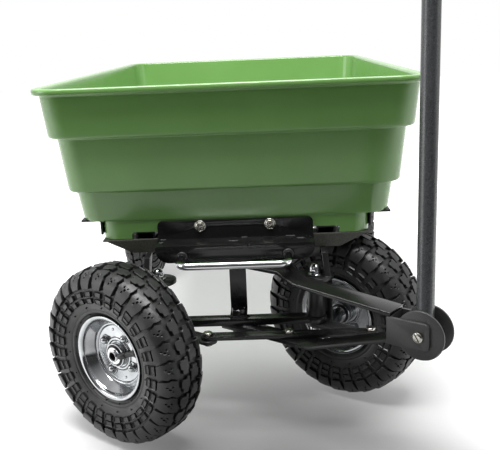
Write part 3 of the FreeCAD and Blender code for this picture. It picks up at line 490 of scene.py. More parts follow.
def makeTub():
    low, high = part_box("tub")
    middle = (low + high) / 2
    half = (high - low) / 2
    levels = tubShape["levels"]
    # the first corner, which turns in five points, stays square
    path = [levels[0][:4]] + roundCorners(levels)[5:]
    rings = [
        (half.x - side * mm, half.y - end * mm, low.z + height * mm, radius * mm)
        for side, end, height, radius in path
    ]
    clearSelection()
    bpy.ops.mesh.primitive_plane_add(size=2, location=(0, middle.y, rings[0][2]))
    piece = nameIt("moulded_tub")
    piece.scale = (rings[0][0], rings[0][1], 1)
    settle(piece)
    editAll(piece)
    bpy.ops.mesh.bevel(offset=rings[0][3], affect="VERTICES", segments=tubShape["cornerSteps"])
    bpy.ops.mesh.select_mode(type="EDGE")
    for old, new in zip(rings, rings[1:]):
        bpy.ops.mesh.extrude_edges_move(TRANSFORM_OT_translate={"value": (0, 0, 0)})
        leaveEdit()
        for vertex in piece.data.vertices:
            if vertex.select:
                sideX = 1 if vertex.co.x > 0 else -1
                sideY = 1 if vertex.co.y > middle.y else -1
                centres = [
                    Vector((sideX * (wide - radius), middle.y + sideY * (long - radius), height))
                    for wide, long, height, radius in (old, new)
                ]
                vertex.co = centres[1] + (vertex.co - centres[0]) / old[3] * new[3]
        bpy.ops.object.mode_set(mode="EDIT")
    bpy.ops.mesh.edge_face_add()
    closeSeams(piece)
    notchY = low.y + tubShape["notchPlace"] * mm
    size = (tubShape["notchWidth"], tubShape["notchDepth"], 2 * tubShape["notchHeight"])
    for side in sides.values():
        place = (side * tubShape["notchSpacing"] / 2 * mm, notchY, low.z)
        cutter = addBlock("notch_cutter", place, Vector(size) * mm)
        pickEdges(cutter, lambda centre, run: abs(run.y) > 5 * mm)
        bpy.ops.mesh.bevel(offset=tubShape["notchRound"] * mm, segments=5)
        leaveEdit()
        cutWith(piece, cutter)
    smooth(piece, 30)
    standFor(piece, "tub")


makeTub()
print("tub moulded")


# Tyres: one is made about X, outer side towards +X, and copied to the four wheels

tyreShape = {
    "pitches": 30, "steps": 90, "crown": 130,
    # the carcass from the crown down to the bead: across, radius, rounding
    "carcass": [
        (0, 124.6, 0), (12, 124.2, 6), (21, 122.0, 6), (28.0, 118, 6), (32.0, 112.5, 5),
        (34.0, 105, 4),
        (34.7, 97, 4), (34.8, 90, 3), (34.8, 85.8, 1), (34.0, 85.0, 1), (33.0, 79, 4),
        (30.4, 72.6, 1), (29.4, 71.6, 1), (30.0, 69.6, 1), (29.2, 67.2, 1.5), (26.6, 66.2, 1.5),
        (24.8, 63, 1), (22, 58, 0),
    ],
    # flat outlines of what stands on it: across, around. Heights are above the carcass
    "lug": [
        (24.5, -11.6), (28.5, -13.2), (31.5, -10.8), (38, -10.0), (45, -8.0), (45, 9.8),
        (38, 11.8), (31.5, 13.0), (28.5, 10.6), (24.5, 12.0), (17.8, 11.8), (17.8, 1.0),
        (20.6, -1.6), (20.6, -11.0),
    ],
    "lugHeight": 5.4, "lugCuts": (21, 25, 29, 33, 37, 41), "lugSoftness": 0.5, "foot": -1.5,
    "lugPits": [(26.8, -3.2, 1.5), (29.6, 0.6, 1.5), (32.6, -2.2, 1.2), (26.4, 3.6, 1.1)],
    "block": [
        (1.4, -11.4), (6.2, -11.4), (6.2, -8.6), (13.6, -8.6), (15.4, -6.0), (15.4, 2.4),
        (12.6, 4.4), (12.6, 10.2), (4.0, 10.2), (4.0, 5.6), (1.4, 3.4),
    ],
    "blockHeight": 4.7, "blockCuts": (8,),
    "ribs": [(48.6, 56.4), (58.6, 66.0)], "ribAround": (-8.0, 9.8), "ribHeight": 3.6,
    "ribFrame": 1.3, "ribSink": 1.6,
    # heights fade from one distance across to another, and rise round the tyre within a pitch
    "fadeFrom": 27, "fadeTo": 48, "fadeLow": 0.84, "slant": 0.14 / 12,
    "pips": [(72.5, 3, 2.2), (84.0, -4, 2.2)], "pipCount": 15, "pipRadii": (1.5, 1.0),
    "rollStep": 0.05, "pitDepth": 2.5,
}


def drawPlate(name, outline, low, high):
    # a flat outline filled, then pulled up to its thickness
    piece = drawChain(name, [(x * mm, y * mm, low * mm) for x, y in [*outline, outline[0]]])
    editAll(piece)
    bpy.ops.mesh.remove_doubles(threshold=0.001 * mm)
    bpy.ops.mesh.edge_face_add()
    bpy.ops.mesh.extrude_region_move(TRANSFORM_OT_translate={"value": (0, 0, (high - low) * mm)})
    closeSeams(piece)
    return piece


def cutAcross(piece, places, normal=(1, 0, 0)):
    editAll(piece)
    for place in places:
        bpy.ops.mesh.select_all(action="SELECT")
        bpy.ops.mesh.bisect(plane_co=[n * place * mm for n in normal], plane_no=normal)
    leaveEdit()


def wrapRound(piece, line):
    # flat X lies along the carcass line, flat Y goes round it, flat Z stands out from it
    lengths = [0.0]
    for start, end in zip(line, line[1:]):
        lengths.append(lengths[-1] + (end - start).length)
    for vertex in piece.data.vertices:
        across, around, out = vertex.co / mm
        spot = max(i for i, length in enumerate(lengths[:-1]) if length <= max(across, 0))
        run = (line[spot + 1] - line[spot]).normalized()
        place = line[spot] + run * (across - lengths[spot])
        if out > 0:
            fade = (across - tyreShape["fadeFrom"]) / (tyreShape["fadeTo"] - tyreShape["fadeFrom"])
            out *= 1 - (1 - tyreShape["fadeLow"]) * min(1, max(0, fade))
            out *= 1 + tyreShape["slant"] * around
        place = place + Vector((-run.y, run.x)) * out
        angle = around / tyreShape["crown"]
        vertex.co = Vector((place.x, place.y * sin(angle), place.y * cos(angle))) * mm


def repeatRound(piece, count):
    # copies go round the tyre, then a second set, half a pitch on, faces the other way
    bpy.ops.object.empty_add(rotation=(2 * pi / count, 0, 0))
    turner = bpy.context.object
    applyModifier(
        piece, "ARRAY", count=count, use_relative_offset=False, use_object_offset=True,
        offset_object=turner,
    )
    discard(turner)
    flip = Matrix.Rotation(pi / count, 4, "X") @ Matrix.Rotation(pi, 4, "Z")
    return [piece, copyTo(piece, piece.name + "_far", flip)]


def makeTyre():
    foot = tyreShape["foot"]
    line = roundCorners(tyreShape["carcass"], 2)
    half = [(point.x, point.y) for point in line]
    outline = half + [(-x, r) for x, r in reversed(half[1:])]
    parts = [turnProfile("carcass", outline, tyreShape["steps"])]

    lug = drawPlate("shoulder_lug", tyreShape["lug"], foot, tyreShape["lugHeight"])
    for across, around, radius in tyreShape["lugPits"]:
        clearSelection()
        bpy.ops.mesh.primitive_cylinder_add(
            vertices=6, radius=radius * mm, depth=2 * tyreShape["pitDepth"] * mm,
            location=(across * mm, around * mm, tyreShape["lugHeight"] * mm),
        )
        cutWith(lug, nameIt("pit_cutter"))
    block = drawPlate("crown_block", tyreShape["block"], foot, tyreShape["blockHeight"])
    for piece, cuts in ((lug, "lugCuts"), (block, "blockCuts")):
        softenEdges(piece, tyreShape["lugSoftness"] * mm, 1, 60)
        cutAcross(piece, tyreShape[cuts])
        cutAcross(piece, (0,), (0, 1, 0))
        wrapRound(piece, line)
        parts += repeatRound(piece, tyreShape["pitches"])

    near, far = tyreShape["ribAround"]
    for inner, outer in tyreShape["ribs"]:
        corners = [(inner, near), (outer, near), (outer, far), (inner, far)]
        rib = drawPlate("sidewall_rib", corners, foot, tyreShape["ribHeight"])
        pickFaces(rib, lambda centre, normal: normal.z > 0.9)
        bpy.ops.mesh.inset(thickness=tyreShape["ribFrame"] * mm, depth=-tyreShape["ribSink"] * mm)
        leaveEdit()
        cutAcross(rib, (0,), (0, 1, 0))
        wrapRound(rib, line)
        parts += repeatRound(rib, tyreShape["pitches"])

    foot, head = tyreShape["pipRadii"]
    for across, around, height in tyreShape["pips"]:
        clearSelection()
        bpy.ops.mesh.primitive_cone_add(
            vertices=6, radius1=foot * mm, radius2=head * mm, depth=2 * height * mm,
            location=(across * mm, around * mm, 0),
        )
        pip = nameIt("vent_pip")
        settle(pip)
        wrapRound(pip, line)
        parts += repeatRound(pip, tyreShape["pipCount"])

    return joinInto("tyre_pattern", parts)


def wheelPlace(name):
    # the hub's middle, with +X pointing outwards
    joint = joints["wheel_spin_" + name]
    outward = Vector(joint["axis"]) * sides[name.split("_")[1]]
    up = Vector((0, 0, 1))
    turn = Matrix((outward, up.cross(outward), up)).transposed().to_4x4()
    return Matrix.Translation(joint["pos_m"]) @ turn


wheelNames = ["front_left", "front_right", "rear_left", "rear_right"]
wheelPlaces = {name: wheelPlace(name) for name in wheelNames}

tyrePattern = makeTyre()
smooth(tyrePattern, 32)
for turnNumber, name in enumerate(wheelNames):
    roll = Matrix.Rotation(turnNumber * tyreShape["rollStep"], 4, "X")
    tyre = copyTo(tyrePattern, "treaded_tyre_" + name, wheelPlaces[name] @ roll)
    standFor(tyre, "tyre_" + name)
print("tyres made:", len(tyrePattern.data.polygons), "faces each")
discard(tyrePattern)


# Rims: pressed barrel, disc and hub, with the disc's nuts and the valve

def mirrored(half):
    return half + [(-x, *rest) for x, *rest in reversed(half)]


rimShape = {
    "steps": 72,
    # across, radius, rounding
    "barrel": mirrored([
        (28.2, 61.3, 0.5), (27.4, 62.0, 0.5), (26.1, 61.6, 0.6), (25.6, 59.4, 0.8),
        (24.0, 57.7, 1.0), (21.0, 57.2, 1.5), (9.4, 47.4, 2.0),
    ]) + mirrored([(-27.5, 58.4, 1.2), (-25.2, 55.6, 1.6), (-21.8, 54.8, 2.0), (-9.8, 44.8, 3.0)]),
    "disc": [
        (8.6, 45.6, 0.4), (8.9, 44.0, 0.6), (7.2, 42.2, 1.2), (6.0, 41.6, 0.6), (6.0, 25.0, 1.0),
        (8.6, 23.4, 0.9), (8.6, 20.8, 0.9), (6.2, 19.4, 0.8), (6.0, 14.0, 0), (3.6, 14.0, 0),
        (3.6, 20.0, 0.6), (6.1, 21.4, 0.6), (6.1, 22.8, 0.6), (3.6, 24.4, 0.8), (3.6, 43.0, 1.0),
        (5.0, 45.6, 0),
    ],
    "hub": mirrored([(15.0, 17.4, 0.8), (15.0, 15.6, 0.5), (13.4, 15.0, 0.4), (13.4, 9.4, 0)]),
    "discFront": 6, "discBack": 3.6,
    "nutCircle": 30, "nutCount": 4, "nutPhase": 30, "nutFlats": 12, "nutHeight": 8.5,
    "nutWasher": 8.2, "nutWasherHeight": 1.2, "boltHeight": 4.5, "boltTurn": 20,
    "rivetCircle": 35.5, "rivetRadius": 2.3, "rivetFlatness": 0.55,
}


def hexHead(name, flats, height, rake=0.13):
    # a hexagon along +X, its outer corners turned off by a rake that is a share of its flats
    clearSelection()
    bpy.ops.mesh.primitive_cylinder_add(
        vertices=6, radius=flats / 3 ** 0.5 * mm, depth=height * mm,
        location=(height / 2 * mm, 0, 0), rotation=(0, pi / 2, 0),
    )
    head = nameIt(name)
    settle(head)
    reach = flats * 0.62  # clear of the corners
    face = flats * 0.455  # the flat round left on top
    turned = turnProfile("turning", [
        (-1, 0), (-1, reach), (height - flats * rake, reach), (height, face), (height, 0),
    ], 24)
    cutWith(head, turned, "INTERSECT")
    # points that lie close at the turned corners would hold the bevel back
    closeSeams(head, 0.05 * mm)
    softenEdges(head, 0.25 * mm, 1, 40)
    closeSeams(head, 0.001 * mm)
    return head


def domeNut(name, flats, height):
    # a cap nut along +X: hexagon, then a dome
    reach = flats * 0.49  # the dome stays just inside the flats
    middle = height - reach
    base = hexHead(name, flats, middle + 0.5, 0.04)
    turns = [pi / 2 * step / 8 for step in range(9)]
    dome = [(middle + sin(turn) * reach, cos(turn) * reach) for turn in turns]
    return joinInto(name, [base, turnProfile("dome", [(middle - 1, 0), *dome], 28)])


def washer(name, outer, thickness):
    edge = min(0.4, thickness / 3)
    return turnProfile(name, [
        (0, 0), (0, outer - edge), (edge, outer), (thickness - edge, outer),
        (thickness, outer - edge), (thickness, 0),
    ], 32)


def shank(name, radius, start, end, edge=0.8):
    return turnProfile(name, [
        (start, 0), (start, radius - edge), (start + edge, radius), (end - edge, radius),
        (end, radius - edge), (end, 0),
    ], 28)


def placeAlong(place, axis, turn=0):
    # +X of the piece goes along axis
    way = Vector((1, 0, 0)).rotation_difference(Vector(axis)).to_matrix().to_4x4()
    return Matrix.Translation(place) @ way @ Matrix.Rotation(radians(turn), 4, "X")


def makeRim():
    values = rimShape
    parts = [
        turnProfile("barrel", roundCorners(values["barrel"], 3), values["steps"]),
        turnProfile("disc", roundCorners(values["disc"], 3), values["steps"]),
        turnProfile("hub", roundCorners(values["hub"], 2), 40),
    ]
    for piece in parts:
        smooth(piece, 40)
    nut = joinInto("disc_nut", [
        washer("nut_washer", values["nutWasher"], values["nutWasherHeight"]),
        domeNut("nut_cap", values["nutFlats"], values["nutHeight"]),
    ])
    back = hexHead("disc_bolt", values["nutFlats"], values["boltHeight"])
    clearSelection()
    bpy.ops.mesh.primitive_uv_sphere_add(
        segments=14, ring_count=8, radius=values["rivetRadius"] * mm,
    )
    rivet = nameIt("disc_rivet")
    rivet.scale = (values["rivetFlatness"], 1, 1)
    settle(rivet)
    front = Vector((values["discFront"] * mm, 0, 0))
    behind = Vector((values["discBack"] * mm, 0, 0))
    for i in range(values["nutCount"]):
        turn = radians(values["nutPhase"] + i * 360 / values["nutCount"])
        spot = Vector((0, sin(turn), cos(turn))) * values["nutCircle"] * mm
        parts.append(copyTo(nut, "nut", Matrix.Translation(spot + front)))
        place = placeAlong(spot + behind, (-1, 0, 0), values["boltTurn"] * i)
        parts.append(copyTo(back, "bolt", place))
        turn += pi / values["nutCount"]  # rivets stand half way between the nuts
        spot = Vector((0, sin(turn), cos(turn))) * values["rivetCircle"] * mm
        parts.append(copyTo(rivet, "rivet", Matrix.Translation(spot + front)))
    discard(nut, back, rivet)
    return joinInto("rim_pattern", parts)


valveShape = {
    "turn": 72, "lean": 18, "foot": 46.5, "footX": 13,
    # along, radius
    "stem": [
        (0, 0), (0, 8), (2, 8), (4, 5.4), (8, 4.4), (19, 3.9), (19, 4.6), (20, 5.0), (29, 4.7),
        (31, 3.6), (31, 0),
    ],
    "seal": [(12.9, 15.0), (13.9, 14.8), (14.2, 13.6), (13.8, 9.2), (12.9, 9.2)],
}


def makeValve():
    # the stem leans out from the barrel towards the hub, and a rubber seal closes each bearing
    valve = turnProfile("valve_stem", valveShape["stem"], 20)
    turn = radians(valveShape["turn"])
    lean = radians(valveShape["lean"])
    reach = valveShape["foot"]
    inward = Vector((sin(lean), -sin(turn) * cos(lean), -cos(turn) * cos(lean)))
    foot = Vector((valveShape["footX"], sin(turn) * reach, cos(turn) * reach)) * mm
    stem = placePiece("valve_stem_placed", [valve], placeAlong(foot, inward))
    smooth(stem, 40)
    seals = []
    for face in (1, -1):
        ring = [(face * x, r) for x, r in valveShape["seal"]]
        seals.append(turnProfile("bearing_seal", ring, 32))
    return joinInto("valve_and_seals", [stem, *seals])


rimPattern = makeRim()
valvePattern = makeValve()
for name in wheelNames:
    rim = copyTo(rimPattern, "pressed_rim_" + name, wheelPlaces[name])
    standFor(rim, "rim_" + name)
    valve = copyTo(valvePattern, "valve_and_seals_" + name, wheelPlaces[name])
    finishPiece(valve, tyreRubber, "wheel_" + name)
discard(rimPattern, valvePattern)
print("rims made")


# Bolts, pins, axles and the lever. A bolt is made along +X from its foot, and its shank runs a
# little way into head and nut

fastenerShape = {
    # across the flats, height
    "bigHex": (19.05, 9), "smallHex": (12.7, 4.5), "capHex": (16.5, 15),
    "capWasher": (11, 2),  # radius, thickness
    "kingpinRadius": 7, "pivotRadius": 6, "steeringRadius": 4,
    # how far each is turned in its hole, in degrees
    "kingpinTurn": 12, "pivotTurn": 8, "steeringTurn": 25, "latchTurn": 17, "pinTurn": -35,
    # along, radius
    "latchRadius": 4, "latchHead": [
        (0, 0), (0, 8), (0.9, 8), (1.3, 7.6), (1.3, 6.9), (2.3, 6.7), (3.4, 5.9), (4.2, 4.6),
        (4.3, 3.6), (3.7, 3.3), (3.7, 2.7), (4.5, 2.2), (5, 0),
    ],
    "tabClear": 5, "upperBolt": 21.3,
    "pinRadius": 5, "pinHalf": 20, "pinHead": 6.75, "pinHeadHeight": 4, "pinSlot": 1.8,
    "pinSlotDepth": 1.2,
}


def boxPlace(node, height):
    # the middle of a node's box, at one height
    low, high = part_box(node)
    return Vector(((low.x + high.x) / 2, (low.y + high.y) / 2, height))


def standPiece(name, parts, place, axis=(0, 0, 1), turn=0):
    piece = placePiece(name, parts, placeAlong(place, axis, turn))
    smooth(piece, 38)
    return piece


def shifted(piece, distance, flip=False):
    # slid along +X, or turned to face the other way first
    turn = Matrix.Rotation(pi, 4, "Z") if flip else Matrix.Identity(4)
    piece.data.transform(Matrix.Translation((distance * mm, 0, 0)) @ turn)
    return piece


def hexNut(flats, height):
    # it stands from the foot, its flat face up against the work
    return shifted(hexHead("nut", flats, height), height, True)


def makeKingpin(side):
    low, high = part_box("kingpin_" + side)
    values = fastenerShape
    flats, height = values["bigHex"]
    outer, thickness = values["capWasher"]
    seat = (high.z - low.z) / mm - height
    parts = [
        shank("shank", values["kingpinRadius"], 0.5, seat + 1),
        hexNut(flats, height), shifted(washer("cap_washer", outer, thickness), seat),
        shifted(domeNut("cap_nut", *values["capHex"]), seat + thickness),
    ]
    place = boxPlace("kingpin_" + side, low.z)
    turn = values["kingpinTurn"] * sides[side]
    piece = standPiece("kingpin_bolt_" + side, parts, place, turn=turn)
    standFor(piece, "kingpin_" + side, rodSteel)


def makeSteeringBolt(name):
    node = "steering_bolt_" + name
    low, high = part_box(node)
    values = fastenerShape
    length = (high.z - low.z) / mm
    flats, height = values["smallHex"]
    parts = [
        shank("shank", values["steeringRadius"], 0.3, length - 1), hexNut(flats, height),
        shifted(hexHead("head", flats, height), length - height),
    ]
    place = boxPlace(node, low.z)
    piece = standPiece("hex_" + node, parts, place, turn=values["steeringTurn"])
    standFor(piece, node)


def makePivotBolts():
    # the lower bolt ends in its head, just over the beam; the upper one has its head underneath
    node = "drawbar_pivot_bolts"
    low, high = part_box(node)
    values = fastenerShape
    flats, height = values["bigHex"]
    radius = values["pivotRadius"]
    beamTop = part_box("front_axle_beam")[1].z
    lowerLength = (beamTop - low.z) / mm + values["tabClear"] + height
    top = (high.z - low.z) / mm
    upperFoot = top - values["upperBolt"]
    parts = [
        shank("shank", radius, 0.5, lowerLength - 1), hexNut(flats, height),
        shifted(hexHead("head", flats, height), lowerLength - height),
        shank("shank", radius, upperFoot + 1, top),
        shifted(hexHead("head", flats, height), upperFoot + height, True),
    ]
    place = boxPlace(node, low.z)
    piece = standPiece("drawbar_pivot_hex_bolts", parts, place, turn=values["pivotTurn"])
    standFor(piece, node, boltBlack)


def makeLatchBolts():
    low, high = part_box("latch_bolts")
    values = fastenerShape
    seat = (high.y - low.y) / mm - values["latchHead"][-1][0]
    parts = []
    for side in sides.values():
        bolt = [
            shank("shank", values["latchRadius"], 0, seat + 1, 0.5),
            shifted(turnProfile("ringed_head", values["latchHead"], 32), seat),
        ]
        middle = side * (high.x - values["latchHead"][1][1] * mm)
        place = (middle, high.y, (low.z + high.z) / 2)
        turn = values["latchTurn"] * side
        parts.append(standPiece("latch_bolt_solid", bolt, place, (0, -1, 0), turn))
    piece = joinInto("domed_latch_bolts", parts)
    standFor(piece, "latch_bolts")


def makeHandlePin():
    # each head is rounded at its rim and has one slot
    joint = joints["handle_tilt"]
    values = fastenerShape
    half, reach, height = values["pinHalf"], values["pinHead"], values["pinHeadHeight"]
    slot = Vector((2 * values["pinSlotDepth"], values["pinSlot"], 4 * reach)) * mm
    parts = [shank("shank", values["pinRadius"], -half, half)]
    for face in (1, -1):
        head = turnProfile("pin_head", [
            (0, 0), (0, reach - 0.6), (0.6, reach), (2.6, reach), (3.6, reach - 1),
            (height, reach - 3), (height, 0),
        ], 28)
        cutWith(head, addBlock("slot_cutter", (height * mm, 0, 0), slot))
        parts.append(shifted(head, face * half, face < 0))
    place, axis = joint["pos_m"], joint["axis"]
    piece = standPiece("slotted_handle_pin", parts, place, axis, values["pinTurn"])
    standFor(piece, "handle_pin")


axleShape = {
    "radius": 8, "bore": 6.2, "boreDepth": 16, "collar": 13, "collarRear": 8, "end": 20,
    "hubFace": 15.3, "washer": 12.5, "washerPlace": 15.4, "washerHeight": 1.6, "clear": 0.1,
    "pinPlace": 18, "pinRadius": 1.3, "pinReach": 10.5, "pinLean": 0.35, "stubFoot": -57,
}


def axleParts(name, start, collarStart, closed=True):
    # half an axle, from start out past the hub: hollow at its end, with collar, washer, cross pin
    values = axleShape
    face = -values["hubFace"]
    near, far = values["washerPlace"], values["washerPlace"] + values["washerHeight"]
    end, bore, radius = values["end"], values["bore"], values["radius"]
    deep = end - values["boreDepth"]
    inner, collar, outer = radius + values["clear"], values["collar"], values["washer"]
    pins = []
    for way in (1, -1):
        pin = shank(name + "_pin", values["pinRadius"], radius - 1, values["pinReach"], 0.4)
        lean = (0, values["pinLean"] * way, way)
        pin.data.transform(placeAlong((values["pinPlace"] * mm, 0, 0), lean))
        pins.append(pin)
    return pins + [
        turnProfile(name + "_tube", [(start, 0)] * closed + [
            (start, radius), (end - 0.8, radius), (end, radius - 0.7), (end, bore + 0.6),
            (end - 0.7, bore), (deep, bore), (deep, 0),
        ], 36),
        turnProfile(name + "_collar", [
            (collarStart, inner), (collarStart, collar - 0.6), (collarStart + 0.6, collar),
            (face - 1, collar), (face, collar - 1), (face, inner),
        ], 36),
        turnProfile(name + "_washer", [
            (near, inner), (near, outer - 0.4), (near + 0.4, outer), (far - 0.4, outer),
            (far, outer - 0.4), (far, inner),
        ], 36),
    ]


def makeBores():
    # painted shade: the unplated inside of each axle end, drawn near black on a thin cup just
    # inside the bore
    values = axleShape
    start, end = values["end"] - values["boreDepth"] + 0.3, values["end"] - 1
    outer = values["bore"] - 0.05
    inner = outer - 0.4
    cup = turnProfile("bore_cup", [
        (start, 0), (start, outer), (end, outer), (end, inner), (start + 0.5, inner),
        (start + 0.5, 0),
    ], 28)
    smooth(cup, 38)
    for name, place in wheelPlaces.items():
        front, side = name.split("_")
        body = "knuckle_" + side if front == "front" else "chassis"
        bore = copyTo(cup, "axle_bore_" + name, place)
        finishPiece(bore, boreShadeLining, body)
    discard(cup)


def makeStubAxle(side):
    foot = axleShape["stubFoot"]
    parts = axleParts("stub", foot, foot)
    piece = placePiece("hollow_stub_axle_" + side, parts, wheelPlaces["front_" + side])
    smooth(piece, 38)
    standFor(piece, "stub_axle_" + side, rodSteel)


def makeRearAxle():
    # two halves, open where they meet in the middle
    ends = []
    collarStart = -axleShape["hubFace"] - axleShape["collarRear"]
    for side in sides:
        place = wheelPlaces["rear_" + side]
        middle = -abs(place.translation.x) / mm
        parts = axleParts("rear", middle, collarStart, closed=False)
        ends.append(placePiece("rear_half_" + side, parts, place))
    piece = joinInto("hollow_rear_axle", ends)
    closeSeams(piece)
    smooth(piece, 38)
    standFor(piece, "rear_axle", rodSteel)


def makeTiltRod():
    low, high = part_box("tilt_rod")
    radius = (high.z - low.z) / 2 / mm
    length = (high.x - low.x) / mm
    rod = shank("tilt", radius, 0, length, 1.0)
    place = (low.x, (low.y + high.y) / 2, (low.z + high.z) / 2)
    piece = standPiece("turned_tilt_rod", [rod], place, (1, 0, 0))
    standFor(piece, "tilt_rod")


leverShape = {"bend": 14, "sides": 28, "bendSteps": 10}


def makeLever():
    # a round rod pulled forwards, round one bend, across, round the other and back
    low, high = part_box("latch_lever")
    radius = (high.z - low.z) / 2
    bend = leverShape["bend"] * mm
    reachX = high.x - radius
    turnY = low.y + radius + bend  # where the bends begin
    level = (low.z + high.z) / 2
    clearSelection()
    bpy.ops.mesh.primitive_circle_add(
        vertices=leverShape["sides"], radius=radius, fill_type="NGON",
        location=(-reachX, high.y, level), rotation=(pi / 2, 0, 0),
    )
    lever = nameIt("chromed_latch_lever")
    settle(lever)
    editAll(lever)
    bpy.ops.mesh.select_mode(type="FACE")
    pulls = [(0, turnY - high.y, 0), (2 * (reachX - bend), 0, 0), (0, high.y - turnY, 0)]
    for pull, bendX in zip(pulls, (bend - reachX, reachX - bend, None)):
        bpy.ops.mesh.extrude_region_move(TRANSFORM_OT_translate={"value": pull})
        if bendX is not None:
            bpy.ops.mesh.spin(
                steps=leverShape["bendSteps"], angle=-pi / 2, center=(bendX, turnY, level),
                axis=(0, 0, 1),
            )
    closeSeams(lever)
    smooth(lever, 45)
    standFor(lever, "latch_lever", rodSteel)


weldShape = {
    "ripple": 1.4, "low": 1.2, "high": 1.6, "taper": 0.3, "shelf": 27.5, "foldBack": 3,
    # middle, distance before the upper fold, length
    "beads": [(-106, 2, 9), (-107, 18, 7), (-3, 20, 12), (13, 2, 9), (80, 2, 13), (94, 16, 11)],
}


def makeWelds():
    # short runs of weld on the latch plate's shelf, painted with it, each a row of ripples
    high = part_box("latch_bracket")[1]
    ripple, taper = weldShape["ripple"], weldShape["taper"]
    back = high.y - weldShape["foldBack"] * mm
    beads = []
    for middle, before, length in weldShape["beads"]:
        count = round(length / ripple)
        outline = [(0, 0)]
        for step in range(count + 1):
            outline.append((taper + step * ripple, weldShape["high" if step % 2 else "low"]))
        outline.append((2 * taper + count * ripple, 0))
        bead = turnProfile("bead", outline, 10)
        start = (middle - length / 2) * mm
        place = (start, back - before * mm, high.z - weldShape["shelf"] * mm)
        beads.append(standPiece("bead_solid", [bead], place, (1, 0, 0)))
    piece = joinInto("latch_weld_beads", beads)
    finishPiece(piece, glossPaint, "tub")


grommetShape = {
    # along, radius
    "ring": [
        (0, 5.7), (0, 7.6), (0.6, 8.2), (1.2, 7.2), (3.8, 7.2), (4.4, 7.6), (5, 7), (5, 5.7),
    ],
    "sink": 1,
}


def makeGrommets():
    # a rubber collar round each end of the lever, where it passes the plate
    low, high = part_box("latch_lever")
    radius = (high.z - low.z) / 2
    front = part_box("latch_bracket")[0].y + grommetShape["sink"] * mm
    collars = []
    for side in sides.values():
        collar = turnProfile("collar", grommetShape["ring"], 28)
        place = (side * (high.x - radius), front, (low.z + high.z) / 2)
        collars.append(standPiece("collar_solid", [collar], place, (0, -1, 0)))
    piece = joinInto("latch_lever_grommets", collars)
    finishPiece(piece, tyreRubber, "tub")


for side in sides:
    makeKingpin(side)
    makeSteeringBolt(side)
    makeStubAxle(side)
makeSteeringBolt("centre")
makePivotBolts()
makeLatchBolts()
makeHandlePin()
makeRearAxle()
makeBores()
makeTiltRod()
makeLever()
makeWelds()
makeGrommets()
print("fasteners made")


# Floor, light and camera

stage = {
    "floor": "#D8D8D8", "reach": 7.0, "roughness": 0.9, "specular": 0.1,
    # painted light: the floor glows, at nearGlow round the cart, which lifts its shadow, rising
    # from the first distance to full white at the second
    "centre": (0.05, 0.05), "glowFrom": 0.45, "glowTo": 1.3, "nearGlow": 0.43,
    # a painted shadow lies on the floor before the cart, dimming its colour and its glow
    "paintedShadowCentre": (0.05, -0.50), "paintedShadowReach": 0.55, "paintedShadowLevel": 0.12,
    # painted shade: the paper's colour is black at the first distance along Y and full from the
    # second, so the floor before the cart gives it little bounce or gloss
    "paintedShadeFull": -1.3, "paintedShadeGone": -0.6,
}


add, multiply, larger = ({"operation": kind} for kind in ("ADD", "MULTIPLY", "MAXIMUM"))


def paperTree(material):
    # painted shade: base colour fades before the cart, with a painted shadow there; painted light:
    # to the eye and in a gloss the paper also glows, more with distance
    tree = material.node_tree
    paper = tree.nodes["Principled BSDF"]
    place = addNode(tree, "TexCoord").outputs["Object"]
    rounds = []
    for centre, reach in (("centre", "glowTo"), ("paintedShadowCentre", "paintedShadowReach")):
        reach = stage[reach]
        x, y = stage[centre]
        spot = addNode(
            tree, "Mapping",
            {"Location": (-x / reach, -y / reach, 0), "Scale": [1 / reach] * 3}, {"Vector": place},
        )
        rounds.append(addNode(
            tree, "TexGradient", {"gradient_type": "SPHERICAL"},
            {"Vector": spot.outputs[0]},
        ).outputs["Fac"])
    near, front = rounds
    along = addNode(tree, "SeparateXYZ", links={0: place}).outputs["Y"]
    # painted shade: the floor's colour fades to black towards the front
    lit = addNode(
        tree, "MapRange",
        {"From Min": stage["paintedShadeFull"], "From Max": stage["paintedShadeGone"]}, {"Value": along},
    ).outputs["Result"]
    # painted shadow: colour and glow dim towards the spot before the cart
    paintedShadow = addNode(tree, "MapRange", {
        "interpolation_type": "SMOOTHSTEP", "To Min": 1.0, "To Max": stage["paintedShadowLevel"],
    }, {"Value": front}).outputs["Result"]
    share = addNode(tree, "Math", multiply, {0: lit, 1: paintedShadow}).outputs[0]
    colour = addNode(
        tree, "VectorMath", {"operation": "SCALE", 0: hexColour(stage["floor"])[:3]},
        {"Scale": share},
    )
    tree.links.new(colour.outputs[0], paper.inputs["Base Color"])
    # painted light: the floor's glow, weakest round the cart
    glow = addNode(tree, "MapRange", {
        "From Max": 1 - stage["glowFrom"] / stage["glowTo"], "To Min": 1.0,
        "To Max": stage["nearGlow"],
    }, {"Value": near}).outputs["Result"]
    seen = addNode(tree, "LightPath").outputs
    rays = seen["Is Camera Ray"]
    for kind in ("Is Glossy Ray", "Is Transmission Ray"):
        rays = addNode(tree, "Math", add, {0: rays, 1: seen[kind]}).outputs[0]
    # the far front stays white to the eye, though no gloss sees it
    shown = addNode(
        tree, "Math", larger, {0: lit, 1: seen["Is Camera Ray"]},
    ).outputs[0]
    for share in (paintedShadow, shown, rays):
        glow = addNode(tree, "Math", multiply, {0: glow, 1: share}).outputs[0]
    paper.inputs["Emission Color"].default_value = (1, 1, 1, 1)
    paper.inputs["Roughness"].default_value = stage["roughness"]
    paper.inputs["Specular IOR Level"].default_value = stage["specular"]
    tree.links.new(glow, paper.inputs["Emission Strength"])


def makeStage():
    clearSelection()
    bpy.ops.mesh.primitive_plane_add(size=2 * stage["reach"])
    floor = nameIt("studio_floor")
    material = bpy.data.materials.new("matt_studio_paper")
    material.use_nodes = True
    paperTree(material)
    floor.data.materials.append(material)


